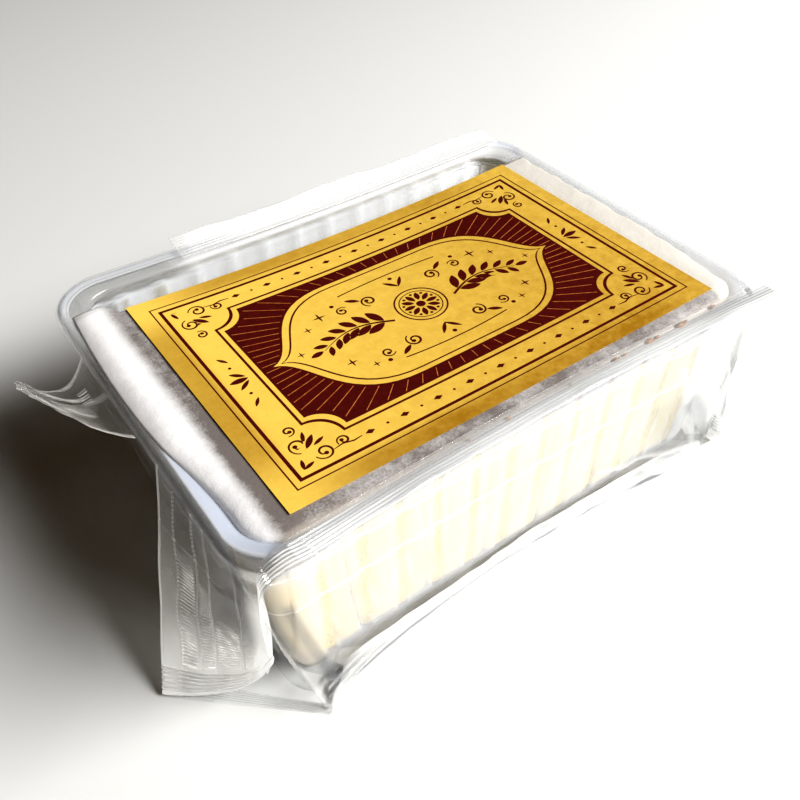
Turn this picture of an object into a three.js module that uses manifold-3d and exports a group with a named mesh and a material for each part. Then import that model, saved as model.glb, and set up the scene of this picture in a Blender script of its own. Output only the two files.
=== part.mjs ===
// A retail pack of castella: a deep plastic tray of sponge cake inside a clear film bag, with a
// paper label stuck on top. Millimetres, +Z up, +X along the tray, +Y to the far long side.
// The origin is the middle of the flat base, on the surface that the pack stands on.
//
// The bag is shut, so it is one closed solid of the film's outer form. The film is stretched over
// the tray's rim, hangs down to the surface, is crimped along both long sides of the rim, and
// stands out in a flat flap at each corner. The label is a thin sheet that follows the film's sag.

import * as THREE from "three";
import { mergeVertices } from "three/addons/utils/BufferGeometryUtils.js";
import Module from "manifold-3d";

// ---- driving dimensions ----
const RIM_LENGTH = 187.4; // over the film at the tray's rim
const RIM_WIDTH = 138.8;
const RIM_RADIUS = 17;
const RIM_BOW = 3; // how far the taut film pulls each long side in at its middle
const PACK_HEIGHT = 67.5; // the film where it lies on the rim
const RIM_DROP = 3.4; // height of the rolled rim's edge
const RIM_ROUND = 0.9; // how far the film drops where it rounds that edge
const RIM_FLAT_SHARE = 0.965; // share of the way from the middle at which it starts to round
const FOOT_LENGTH = 176; // over the film where it meets the surface
const FOOT_WIDTH = 134;
const FOOT_RADIUS = 13;
const FOOT_BOW = 5.5;
const FOOT_SHIFT = 4; // the film hangs further out at the right end
const FOOT_TUCK = 0.99; // size of the flat base against the film's widest line just above it
// The hanging film between rim and foot: share of the height, share of the way in to the foot.
const SKIRT = [[0.86, 0.12], [0.62, 0.4], [0.3, 0.78], [0.1, 0.95], [0.012, 1.0]];

const LABEL_LENGTH = 152.2;
const LABEL_WIDTH = 100;
const LABEL_CENTRE = { x: 1.6, y: -4.9 };
const LABEL_THICKNESS = 0.3;
const LABEL_GAP = 0.3; // keeps the label clear of the film
const SAG_NEAR = 1.3; // the film's sag under the label, at its near and far long edges
const SAG_FAR = 4.0;
const SAG_SPAN = { x: 87, y: 61 }; // half the opening that the film spans
const SAG_POWER = { x: 2, y: 6 }; // a slow curve along the tray, a flat middle across it

// The crimped end seals along the long sides of the rim: side is -1 near and 1 far, overhang is
// how far the cut edge stands over the rim, and lift is how far it curls up.
const NEAR_SEAL = { side: -1, width: 8, fromX: -87, toX: 92, overhang: 0.4, lift: 1.2 };
const FAR_SEAL = { side: 1, width: 10.5, fromX: -49, toX: 88, overhang: 1.4, lift: 1.6 };
const SEAL_THICKNESS = 0.9;
const SEAL_REST = 0.1; // from the rim's film up to the middle of the seal where it lies flat
const SEAL_WAVE = { height: 0.5, length: 9 };
const FLAP_THICKNESS = 1.0; // two layers of film and the air between them

// The flaps' corners: where each leaves the rim, where its two layers meet in a tip, and where its
// fold runs back to the tray's corner.
const NEAR_LEFT = {
  top: [-92.8, -16.5, 63], cornerTop: [-88.7, -64, 64],
  tip: [-114.6, -40, 1.6], foldFoot: [-87.5, -57.6, 16],
};
const NEAR_LEFT_FLOOR = {
  tip: [-115, -39.8], cut: [-79, -72.4],
  footLeft: [-80, -18], footNear: [-68, -62],
};
const FAR_LEFT = {
  foldTop: [-93, -4, 62], sealTop: [-93, 36, 63],
  tip: [-111.1, 49.3, 50.5], tipTop: [-110.8, 50.5, 52.5],
};
// The right flaps mirror each other: y is for the far one.
const RIGHT = {
  top: [93, 30, 63], cornerTop: [88.7, 64, 64],
  tip: [99, 67, 1.6], foldFoot: [86, 64, 9],
};

// ---- how finely the surfaces are divided ----
const CORNER_STEPS = 9;
const LONG_STEPS = 20;
const SHORT_STEPS = 12;
const TOP_RINGS = 9;
const RING_SPREAD = 1.35; // above 1, the rings crowd towards the rim
const FLAP_STEPS = 12;
const FLOOR_STEPS = 8; // across the film on the surface
const SEAL_STEPS = 36;
const LABEL_STEPS = { x: 20, y: 12 };

const wasm = await Module();
wasm.setup();

const v3 = (x, y, z) => new THREE.Vector3(x, y, z);
const mix = (a, b, t) => a + (b - a) * t;

// ---- surfaces ----

/** Height of the stretched film over the tray, with its sag between the rims. */
function filmTop(x, y) {
  const alongX = Math.max(0, 1 - Math.abs(x / SAG_SPAN.x) ** SAG_POWER.x);
  const alongY = Math.max(0, 1 - Math.abs(y / SAG_SPAN.y) ** SAG_POWER.y);
  const depth = mix(SAG_NEAR, SAG_FAR, THREE.MathUtils.clamp(y / LABEL_WIDTH + 0.5, 0, 1));
  return PACK_HEIGHT - depth * alongX * alongY;
}

/** Rounded rectangle, counter-clockwise from above, with its long sides bowed in by bow. */
function outline(length, width, radius, bow) {
  const halfX = length / 2;
  const halfY = width / 2;
  const points = [];
  const corners = [[1, 1], [-1, 1], [-1, -1], [1, -1]];
  corners.forEach(([sideX, sideY], quarter) => {
    for (let i = 0; i <= CORNER_STEPS; i++) {
      const angle = (quarter + i / CORNER_STEPS) * Math.PI / 2;
      points.push([
        sideX * (halfX - radius) + radius * Math.cos(angle),
        sideY * (halfY - radius) + radius * Math.sin(angle),
      ]);
    }
    const [x0, y0] = points[points.length - 1];
    const alongX = quarter % 2 === 0;
    const steps = alongX ? LONG_STEPS : SHORT_STEPS;
    const [x1, y1] = alongX ? [-x0, y0] : [x0, -y0];
    for (let i = 1; i < steps; i++) points.push([mix(x0, x1, i / steps), mix(y0, y1, i / steps)]);
  });
  return points.map(([x, y]) => {
    const pull = bow * Math.cos((Math.PI * x) / length) * (Math.abs(y) / halfY) ** 4;
    return [x, y - Math.sign(y) * pull];
  });
}

/** Closed solid from rings of equal length, capped by a fan at each end. */
function lofted(rings, firstCentre, lastCentre) {
  const count = rings[0].length;
  const positions = [firstCentre, ...rings.flat(), lastCentre].flat();
  const faces = [];
  const at = (ring, i) => 1 + ring * count + (i % count);
  const last = 1 + rings.length * count;
  for (let i = 0; i < count; i++) {
    faces.push(0, at(0, i), at(0, i + 1));
    for (let ring = 0; ring + 1 < rings.length; ring++) {
      const [a, b] = [at(ring, i), at(ring, i + 1)];
      const [c, d] = [at(ring + 1, i), at(ring + 1, i + 1)];
      faces.push(a, c, d, a, d, b);
    }
    faces.push(last, at(rings.length - 1, i + 1), at(rings.length - 1, i));
  }
  return indexed(positions, faces);
}

/** Thin closed solid around a surface that point(u, v) gives, u and v from 0 to 1. */
function sheet(point, stepsU, stepsV, thickness) {
  const small = 1e-3;
  const sides = [[], []];
  for (let j = 0; j <= stepsV; j++) {
    for (let i = 0; i <= stepsU; i++) {
      const [u, v] = [i / stepsU, j / stepsV];
      const acrossU = point(Math.min(1, u + small), v).sub(point(Math.max(0, u - small), v));
      const acrossV = point(u, Math.min(1, v + small)).sub(point(u, Math.max(0, v - small)));
      const normal = acrossU.cross(acrossV).normalize().multiplyScalar(thickness / 2);
      sides[0].push(point(u, v).add(normal));
      sides[1].push(point(u, v).sub(normal));
    }
  }
  const row = stepsU + 1;
  const under = sides[0].length;
  const faces = [];
  for (let j = 0; j < stepsV; j++) {
    for (let i = 0; i < stepsU; i++) {
      const a = j * row + i;
      const [b, c, d] = [a + 1, a + 1 + row, a + row];
      faces.push(a, b, c, a, c, d);
      faces.push(under + a, under + c, under + b, under + a, under + d, under + c);
    }
  }
  const wall = (a, b) => faces.push(a, b + under, b, a, a + under, b + under);
  for (let i = 0; i < stepsU; i++) {
    wall(i, i + 1);
    wall(stepsV * row + i + 1, stepsV * row + i);
  }
  for (let j = 0; j < stepsV; j++) {
    wall((j + 1) * row, j * row);
    wall(j * row + stepsU, (j + 1) * row + stepsU);
  }
  return indexed(sides.flat().flatMap((p) => p.toArray()), faces);
}

/** Surface spanned by four edge curves: first and last run along u, start and end along v. */
function spanned(first, last, start, end) {
  const corner = [first.getPoint(0), first.getPoint(1), last.getPoint(0), last.getPoint(1)];
  return (u, v) => {
    const p = v3(0, 0, 0);
    const add = (q, weight) => p.addScaledVector(q, weight);
    add(first.getPoint(u), 1 - v);
    add(last.getPoint(u), v);
    add(start.getPoint(v), 1 - u);
    add(end.getPoint(v), u);
    add(corner[0], -(1 - u) * (1 - v));
    add(corner[1], -u * (1 - v));
    add(corner[2], -(1 - u) * v);
    add(corner[3], -u * v);
    return p;
  };
}

const curve = (a, middle, b) => new THREE.QuadraticBezierCurve3(v3(...a), v3(...middle), v3(...b));

function indexed(positions, faces) {
  const geometry = new THREE.BufferGeometry();
  geometry.setAttribute("position", new THREE.Float32BufferAttribute(positions, 3));
  geometry.setIndex(faces);
  return geometry;
}

// ---- joining solids ----

function toSolid(geometry) {
  const merged = mergeVertices(geometry, 1e-4);
  const mesh = new wasm.Mesh({
    numProp: 3,
    vertProperties: merged.attributes.position.array,
    triVerts: Uint32Array.from(merged.index.array),
  });
  return new wasm.Manifold(mesh);
}

function joined(geometries) {
  const solid = geometries.map(toSolid).reduce((whole, piece) => whole.add(piece));
  const mesh = solid.getMesh();
  return indexed(Array.from(mesh.vertProperties), Array.from(mesh.triVerts));
}

// ---- the film bag ----

/** Film over the tray: the sagging top, the rolled rim, and the skirt down to a flat base. */
function bagBody() {
  const rim = outline(RIM_LENGTH, RIM_WIDTH, RIM_RADIUS, RIM_BOW);
  const foot = outline(FOOT_LENGTH, FOOT_WIDTH, FOOT_RADIUS, FOOT_BOW)
    .map(([x, y]) => [x + FOOT_SHIFT, y]);
  const rings = [];
  for (let i = 1; i <= TOP_RINGS; i++) {
    const share = RIM_FLAT_SHARE * (1 - (1 - i / TOP_RINGS) ** RING_SPREAD);
    rings.push(rim.map(([x, y]) => [x * share, y * share, filmTop(x * share, y * share)]));
  }
  const edge = PACK_HEIGHT - RIM_ROUND;
  rings.push(rim.map(([x, y]) => [x, y, edge]));
  rings.push(rim.map(([x, y]) => [x, y, edge - RIM_DROP]));
  for (const [height, share] of SKIRT) {
    rings.push(rim.map(([x, y], i) => [
      mix(x, foot[i][0], share), mix(y, foot[i][1], share), height * PACK_HEIGHT,
    ]));
  }
  rings.push(foot.map(([x, y]) => [x * FOOT_TUCK, y * FOOT_TUCK, 0]));
  rings.push(foot.map(([x, y]) => [x / 2, y / 2, 0]));
  return lofted(rings, [0, 0, filmTop(0, 0)], [0, 0, 0]);
}

/** Crimped end seal that lies along one long side of the rim and curls up a little. */
function endSeal({ side, width, fromX, toX, overhang, lift }) {
  const point = (u, v) => {
    const x = mix(fromX, toX, u);
    const bow = RIM_BOW * Math.cos((Math.PI * x) / RIM_LENGTH);
    const outer = RIM_WIDTH / 2 - bow + overhang;
    const curl = lift * v * (1.4 - ((2 * x) / RIM_LENGTH) ** 2);
    const wave = SEAL_WAVE.height * Math.sin(x / SEAL_WAVE.length) * v ** 2;
    return v3(x, side * (outer - (1 - v) * width), PACK_HEIGHT + SEAL_REST + curl + wave);
  };
  return sheet(point, SEAL_STEPS, 2, SEAL_THICKNESS);
}

/** Flap at the near left corner: the tube's side, drawn out to a tip on the surface. */
function nearLeftFlap() {
  const { top, cornerTop, tip, foldFoot } = NEAR_LEFT;
  return sheet(spanned(
    curve(top, [-102.6, -26.5, 34], tip),
    curve(cornerTop, [-86.4, -62.6, 38], foldFoot),
    curve(top, [-94.4, -62, 65], cornerTop),
    curve(tip, [-95, -56, 0.8], foldFoot),
  ), FLAP_STEPS, FLAP_STEPS, FLAP_THICKNESS);
}

/** Film that lies on the surface under the near left flap, out to the end seal's cut edge. */
function nearLeftFloor() {
  const flat = (a, middle, b) => curve(...[a, middle, b].map((p) => [...p, FLAP_THICKNESS / 2]));
  const { tip, cut, footLeft, footNear } = NEAR_LEFT_FLOOR;
  return sheet(spanned(
    flat(tip, [-100, -53.4], cut),
    flat(footLeft, [-79, -42], footNear),
    flat(tip, [-98, -32], footLeft),
    flat(cut, [-74, -68], footNear),
  ), FLAP_STEPS, FLOOR_STEPS, FLAP_THICKNESS);
}

/** Flap at the far left corner, which stands out in the air. */
function farLeftFlap() {
  const { foldTop, sealTop, tip, tipTop } = FAR_LEFT;
  return sheet(spanned(
    curve(foldTop, [-101.7, 10, 57], tip),
    curve(sealTop, [-104, 23.5, 56.5], tipTop),
    curve(foldTop, [-93.4, 16, 63], sealTop),
    curve(tip, [-111.2, 49.8, 51.6], tipTop),
  ), FLAP_STEPS, FLAP_STEPS, FLAP_THICKNESS);
}

/** Flap at the right end, pulled in tighter. side is -1 at the near corner, 1 at the far one. */
function rightFlap(side) {
  const at = ([x, y, z]) => [x, side * y, z];
  const { top, cornerTop, tip, foldFoot } = RIGHT;
  return sheet(spanned(
    curve(at(top), at([98, 48, 32]), at(tip)),
    curve(at(cornerTop), at([88, 65, 36]), at(foldFoot)),
    curve(at(top), at([94.4, 62, 65]), at(cornerTop)),
    curve(at(tip), at([91, 68, 1.4]), at(foldFoot)),
  ), FLAP_STEPS, FLAP_STEPS, FLAP_THICKNESS);
}

// ---- the label ----

function labelSheet() {
  const lift = LABEL_GAP + LABEL_THICKNESS / 2;
  const point = (u, v) => {
    const x = LABEL_CENTRE.x + (u - 0.5) * LABEL_LENGTH;
    const y = LABEL_CENTRE.y + (v - 0.5) * LABEL_WIDTH;
    return v3(x, y, filmTop(x, y) + lift);
  };
  return sheet(point, LABEL_STEPS.x, LABEL_STEPS.y, LABEL_THICKNESS);
}

// ---- the pack ----

function piece(name, geometry, colour, roughness, metalness) {
  const material = new THREE.MeshStandardMaterial({ color: colour, roughness, metalness });
  const mesh = new THREE.Mesh(geometry, material);
  mesh.name = name;
  return mesh;
}

const pack = new THREE.Group();
pack.add(piece("bag", joined([
  bagBody(),
  endSeal(NEAR_SEAL),
  endSeal(FAR_SEAL),
  nearLeftFlap(),
  nearLeftFloor(),
  farLeftFlap(),
  rightFlap(-1),
  rightFlap(1),
]), 0xe9e7df, 0.15, 0));
pack.add(piece("label", labelSheet(), 0xf2bd2e, 0.5, 0));

export default pack;
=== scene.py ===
"""Packed castella: film bag, ribbed tray, sponge cake, cover sheet and printed label."""

import math

import bmesh
import bpy
import numpy as np
from mathutils import Matrix, Vector, noise


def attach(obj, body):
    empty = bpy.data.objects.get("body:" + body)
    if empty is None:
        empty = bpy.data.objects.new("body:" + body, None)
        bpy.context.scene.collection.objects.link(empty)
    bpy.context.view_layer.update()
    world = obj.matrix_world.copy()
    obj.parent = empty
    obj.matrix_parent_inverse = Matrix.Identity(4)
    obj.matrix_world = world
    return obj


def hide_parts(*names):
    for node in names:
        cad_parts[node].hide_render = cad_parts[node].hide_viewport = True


bl_info = {
    "name": "Packed castella",
    "version": (1, 0, 0),
    "blender": (4, 5, 0),
    "location": "3D View > Sidebar > Castella",
    "description": "Builds a packed castella piece by piece around its fixed frame",
    "category": "Add Mesh",
}

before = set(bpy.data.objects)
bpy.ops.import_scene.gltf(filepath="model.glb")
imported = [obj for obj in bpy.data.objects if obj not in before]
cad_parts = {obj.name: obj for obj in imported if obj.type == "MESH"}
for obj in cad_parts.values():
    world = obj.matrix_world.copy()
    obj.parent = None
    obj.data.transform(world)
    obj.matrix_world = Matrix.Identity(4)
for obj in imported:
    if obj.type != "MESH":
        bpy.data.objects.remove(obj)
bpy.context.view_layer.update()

MM = 0.001

# Shares of the way round a rounded rectangle: each corner, each long side, each short side.
CORNER_SHARE, LONG_SHARE, SHORT_SHARE = 0.09, 0.20, 0.12

# How deep the film sags between the rims, and the half length and half width that it sags over.
SAG_NEAR, SAG_FAR = 1.3, 4.0
SAG_SPAN_X, SAG_SPAN_Y = 87.0, 61.0

# The label's middle, its height over the film, its thickness, and how thick each layer of ink is.
LABEL_CENTRE = (1.6, -4.9)
LABEL_LIFT, LABEL_THICK = 0.15, 0.12
INK_LIFT, INK_THICK, INK_STEP = 0.145, 0.02, 0.006

# Second shades that the finishes mix in.
# Dark grey of the film's painted shade, which stands in for shade and dark reflections on it.
FILM_PAINTED_SHADE = (0.23, 0.24, 0.25, 1)
TRAY_CLOUD = (0.87, 0.89, 0.93, 1)
# The tray's shoulder colour, and the darker blue-grey painted shade of its left part.
TRAY_SHOULDER, TRAY_SHOULDER_LEFT_PAINTED_SHADE = (0.86, 0.86, 0.86, 1), (0.60, 0.645, 0.745, 1)
# Painted shade on the tray's far-left shoulder and on its lip there.
TRAY_FAR_LEFT_PAINTED_SHADE, TRAY_FAR_LIP_PAINTED_SHADE = (0.30, 0.305, 0.30, 1), (0.60, 0.59, 0.54, 1)
# Painted light: a bright cream patch on the tray's near-left corner.
TRAY_PAINTED_LIGHT = (1.0, 0.93, 0.82, 1)
CRUMB_PORE, CRUMB_LIGHT = (0.70, 0.46, 0.12, 1), (1.0, 0.93, 0.66, 1)
CRUMB_STAIN = (0.42, 0.17, 0.09, 1)
CRUST_PATCH, CRUST_CRUMB = (0.46, 0.21, 0.07, 1), (0.80, 0.52, 0.20, 1)
# Beige at the cover sheet's right end, and painted shade, tinted tan, along its near strip.
SHEET_RIGHT, SHEET_NEAR_PAINTED_SHADE = (0.74, 0.70, 0.62, 1), (0.52, 0.45, 0.38, 1)
INK_WORN = (0.115, 0.006, 0.003, 1)
HAIRLINE, HAIRLINE_PALE = (0.40, 0.10, 0.02, 1), (0.62, 0.24, 0.05, 1)
FLOOR_PATCH, STUDIO_WALL = (0.71, 0.715, 0.70, 1), (0.15, 0.088, 0.036, 1)


# ---- settings ----


def length(name, description, value):
    """A size in the panel, given here in millimetres."""
    return bpy.props.FloatProperty(
        name=name, description=description, default=value * MM, unit="LENGTH", precision=4
    )


def colour(name, description, value):
    """A colour in the panel."""
    return bpy.props.FloatVectorProperty(
        name=name, description=description, default=value, size=3, subtype="COLOR", min=0, max=1
    )


class PackSizes(bpy.types.PropertyGroup):
    """Sizes of the pack and its label"""

    rim_length: length("Rim length", "Over the film at the tray's rim", 187.4)
    rim_width: length("Rim width", "Over the film at the tray's rim", 138.8)
    rim_radius: length("Rim radius", "Corner radius of the film at the rim", 17)
    rim_bow: length("Rim bow", "How far each long side is pulled in at its middle", 3)
    pack_height: length("Pack height", "Film where it lies on the rim", 67.5)
    foot_length: length("Foot length", "Over the film where it meets the surface", 176)
    foot_width: length("Foot width", "Over the film where it meets the surface", 134)
    foot_radius: length("Foot radius", "Corner radius of the film at the foot", 13)
    foot_bow: length("Foot bow", "How far each long side is pulled in at the foot", 5.5)
    foot_shift: length("Foot shift", "How much further the film hangs out at the right", 4)
    rib_pitch: length("Rib pitch", "From one upright rib of the tray to the next", 13)
    rib_depth: length("Rib depth", "How far a rib stands out of the tray's wall", 0.5)
    crimp_pitch: length("Crimp pitch", "From one rib of a crimped seal to the next", 1.12)
    near_seal: length("Near seal", "Width of the crimped seal on the near side", 8)
    far_seal: length("Far seal", "Width of the crimped seal on the far side", 10.5)
    label_length: length("Label length", "Along the tray", 152.2)
    label_width: length("Label width", "Across the tray", 100)


class PackColours(bpy.types.PropertyGroup):
    """Main colours of the pack, its contents and the floor"""

    film: colour("Film", "Tint of the clear film", (0.97, 0.975, 0.97))
    tray: colour("Tray", "Milky plastic of the tray", (0.80, 0.84, 0.92))
    crumb: colour("Crumb", "Inside of the cake", (0.93, 0.70, 0.15))
    crumb_pale: colour("Pale crumb", "Lighter patches of the crumb", (0.95, 0.80, 0.30))
    crust: colour("Crust", "Baked top and base of the cake", (0.30, 0.115, 0.035))
    sheet: colour("Cover sheet", "Paper over the cake", (0.93, 0.92, 0.92))
    # This darker colour gives the cover sheet's mottle and also its painted shade.
    sheet_shade: colour("Sheet mottle", "Darker mottle of the cover sheet", (0.185, 0.155, 0.143))
    gold: colour("Label gold", "Ground of the label", (0.33, 0.162, 0.009))
    gold_pale: colour("Pale gold", "Lighter part of the label's ground", (0.86, 0.58, 0.105))
    ink: colour("Label ink", "Print on the label", (0.062, 0.0045, 0.0035))
    floor: colour("Floor", "Surface that the pack stands on", (0.74, 0.745, 0.735))


def mm(name):
    """A size from the panel, in millimetres."""
    return getattr(bpy.context.scene.pack_sizes, name) / MM


def tint(name):
    """A colour from the panel, with its alpha."""
    return (*getattr(bpy.context.scene.pack_colours, name), 1.0)


# ---- shader expressions ----


class Value:
    """A shader socket that takes part in sums, as in 1 - mask * 0.5."""

    def __init__(self, finish, socket):
        self.finish, self.socket = finish, socket

    def math(self, operation, *others, flipped=False):
        """One Math node; flipped puts this value last."""
        terms = (*others, self) if flipped else (self, *others)
        found = self.finish.node("ShaderNodeMath", {"operation": operation}, dict(enumerate(terms)))
        return Value(self.finish, found.outputs[0])

    def __add__(self, other):
        return self.math("ADD", other)

    def __sub__(self, other):
        return self.math("SUBTRACT", other)

    def __mul__(self, other):
        return self.math("MULTIPLY", other)

    def __truediv__(self, other):
        return self.math("DIVIDE", other)

    def __pow__(self, other):
        return self.math("POWER", other)

    def __rsub__(self, other):
        return self.math("SUBTRACT", other, flipped=True)

    def __rtruediv__(self, other):
        return self.math("DIVIDE", other, flipped=True)

    __radd__, __rmul__ = __add__, __mul__

    def between(self, low, high, to_low=0.0, to_high=1.0, smooth=True):
        """to_low up to low, to_high from high on, and a run from one to the other in between."""
        settings = {"interpolation_type": "SMOOTHSTEP" if smooth else "LINEAR", "clamp": True}
        found = self.finish.node("ShaderNodeMapRange", settings, {
            "Value": self, "From Min": low, "From Max": high, "To Min": to_low, "To Max": to_high,
        })
        return Value(self.finish, found.outputs["Result"])

    def clamp(self):
        """This value, held between 0 and 1."""
        return self.between(0, 1, smooth=False)


class Finish:
    """A node material with one method that makes any node."""

    def __init__(self, name):
        self.material = bpy.data.materials.new(name)
        self.material.use_nodes = True
        self.tree = self.material.node_tree
        self.tree.nodes.clear()
        self.place = self.node("ShaderNodeTexCoord")

    def node(self, kind, settings=None, inputs=None):
        """Any node, with its settings, and the values or links of its sockets."""
        made = self.tree.nodes.new(kind)
        for key, value in (settings or {}).items():
            setattr(made, key, value)
        for key, value in (inputs or {}).items():
            if isinstance(value, Value):
                self.tree.links.new(value.socket, made.inputs[key])
            elif isinstance(value, bpy.types.NodeSocket):
                self.tree.links.new(value, made.inputs[key])
            else:
                made.inputs[key].default_value = value
        return made

    def axis(self, name):
        """One coordinate of the place on the piece, in metres."""
        split = self.node("ShaderNodeSeparateXYZ", None, {0: self.place.outputs["Object"]})
        return Value(self, split.outputs[name])

    def across(self, axis, start, end):
        """Runs from 0 to 1 between two places along an axis, given in millimetres."""
        return self.axis(axis).between(start * MM, end * MM)

    def attribute(self, name):
        """A share that surface() has kept on the piece's points."""
        found = self.node("ShaderNodeAttribute", {"attribute_name": name})
        return Value(self, found.outputs["Fac"])

    def noise(self, scale, detail=3.0, roughness=0.5, stretch=None):
        vector = self.place.outputs["Object"]
        if stretch:
            turned = self.node("ShaderNodeMapping", None, {"Vector": vector, "Scale": stretch})
            vector = turned.outputs[0]
        found = self.node("ShaderNodeTexNoise", None, {
            "Vector": vector, "Scale": scale, "Detail": detail, "Roughness": roughness,
        })
        return Value(self, found.outputs["Fac"])

    def cells(self, scale):
        found = self.node("ShaderNodeTexVoronoi", None, {
            "Vector": self.place.outputs["Object"], "Scale": scale, "Randomness": 1.0,
        })
        return Value(self, found.outputs["Distance"])

    def blend(self, factor, first, second):
        """Mixes two colours."""
        settings = {"data_type": "RGBA", "blend_type": "MIX"}
        return self.node("ShaderNodeMix", settings, {0: factor, 6: first, 7: second}).outputs[2]

    def bump(self, height, distance, strength=1.0):
        return self.node("ShaderNodeBump", None, {
            "Height": height, "Distance": distance * MM, "Strength": strength,
        }).outputs[0]

    def facing(self, blend):
        found = self.node("ShaderNodeLayerWeight", None, {"Blend": blend})
        return Value(self, found.outputs["Facing"])

    def principled(self, inputs):
        return self.node("ShaderNodeBsdfPrincipled", None, inputs).outputs[0]

    def finish(self, surface):
        self.node("ShaderNodeOutputMaterial", None, {"Surface": surface})
        return self.material

    def finish_clear(self, opacity, surface):
        """Ends a see-through finish: surface shows as much as opacity says."""
        clear = self.node("ShaderNodeBsdfTransparent", None, {"Color": (1, 1, 1, 1)}).outputs[0]
        mixed = self.node("ShaderNodeMixShader", None, {0: opacity.clamp(), 1: clear, 2: surface})
        return self.finish(mixed.outputs[0])


# ---- surfaces, in millimetres ----


def mix(a, b, t):
    """a where t is 0 and b where it is 1."""
    return a + (b - a) * t


def unit(x):
    """x, held between 0 and 1."""
    return np.clip(x, 0, 1)


def hump(x, width, power=2):
    """Bell that is 1 where x is 0 and dies out over a few widths."""
    return np.exp(-((x / width) ** power))


def film_top(x, y):
    """Height of the stretched film over the tray, with its sag between the rims."""
    along_x = np.clip(1 - (x / SAG_SPAN_X) ** 2, 0, None)
    along_y = np.clip(1 - (y / SAG_SPAN_Y) ** 6, 0, None)
    depth = mix(SAG_NEAR, SAG_FAR, unit(y / mm("label_width") + 0.5))
    return mm("pack_height") - depth * along_x * along_y


def outline(u, half_x, half_y, radius, bow):
    """Rounded rectangle, with u from 0 to 1 the way round and its long sides bowed in."""
    x, y = np.zeros_like(u), np.zeros_like(u)
    start = 0.0
    for quarter, (side_x, side_y) in enumerate(((1, 1), (-1, 1), (-1, -1), (1, -1))):
        centre_x, centre_y = side_x * (half_x - radius), side_y * (half_y - radius)
        angle = (quarter + (u - start) / CORNER_SHARE) * math.pi / 2
        here = (u >= start - 1e-9) & (u <= start + CORNER_SHARE)
        x = np.where(here, centre_x + radius * np.cos(angle), x)
        y = np.where(here, centre_y + radius * np.sin(angle), y)
        start += CORNER_SHARE
        last = (quarter + 1) * math.pi / 2
        x0 = centre_x + radius * round(math.cos(last))
        y0 = centre_y + radius * round(math.sin(last))
        x1, y1, share = (-x0, y0, LONG_SHARE) if quarter % 2 == 0 else (x0, -y0, SHORT_SHARE)
        t = (u - start) / share
        here = (t > 0) & (t < 1)
        x, y = np.where(here, mix(x0, x1, t), x), np.where(here, mix(y0, y1, t), y)
        start += share
    last = u > 1 - 1e-9
    x, y = np.where(last, half_x, x), np.where(last, half_y - radius, y)
    pull = bow * np.cos(math.pi * x / (2 * half_x)) * (np.abs(y) / half_y) ** 4
    return x, y - np.sign(y) * pull


def along(t, knots):
    """Smooth run through knots, a table of equal rows, as t goes from 0 to 1."""
    knots = np.asarray(knots, float)
    padded = np.vstack([2 * knots[0] - knots[1], knots, 2 * knots[-1] - knots[-2]])
    place = unit(t) * (len(knots) - 1)
    i = np.minimum(place.astype(int), len(knots) - 2)
    f = (place - i)[:, None]
    a, b, c, d = padded[i], padded[i + 1], padded[i + 2], padded[i + 3]
    square, cube = 2 * a - 5 * b + 4 * c - d, 3 * b - a - 3 * c + d
    return 0.5 * (2 * b + (c - a) * f + square * f**2 + cube * f**3)


def bezier(a, middle, b):
    """Curve from a to b that leans towards middle."""
    a, middle, b = (np.asarray(p, float) for p in (a, middle, b))

    def place(t):
        t = t[:, None]
        return a * (1 - t) ** 2 + middle * 2 * ((1 - t) * t) + b * t**2

    return place


def spanned(first, last, start, end):
    """Surface between four edge curves: first and last run along u, start and end along v."""
    one, nil = np.ones(1), np.zeros(1)
    corners = [first(nil), first(one), last(nil), last(one)]

    def place(u, v):
        s, t = u[:, None], v[:, None]
        flat = (1 - t) * first(u) + t * last(u) + (1 - s) * start(v) + s * end(v)
        pulled = (1 - s) * (1 - t) * corners[0] + s * (1 - t) * corners[1]
        return flat - pulled - (1 - s) * t * corners[2] - s * t * corners[3]

    return place


def grain(points, size, seed=0.0):
    """Smooth noise of about plus or minus a half, with patches of about size millimetres."""
    return np.array([noise.noise((p[0] / size + seed, p[1] / size, p[2] / size)) for p in points])


# ---- making pieces ----


def make_object(name, bm, materials, smooth=True):
    """Puts a finished bmesh in the scene."""
    for face in bm.faces:
        face.smooth = smooth
    mesh = bpy.data.meshes.new(name)
    bm.to_mesh(mesh)
    bm.free()
    for material in materials:
        mesh.materials.append(material)
    made = bpy.data.objects.new(name, mesh)
    bpy.context.scene.collection.objects.link(made)
    return made


def piece(name, bm, materials, smooth=True):
    """Makes a piece of the pack, which rides on its one body."""
    made = make_object(name, bm, materials, smooth)
    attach(made, "root")
    return made


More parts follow.
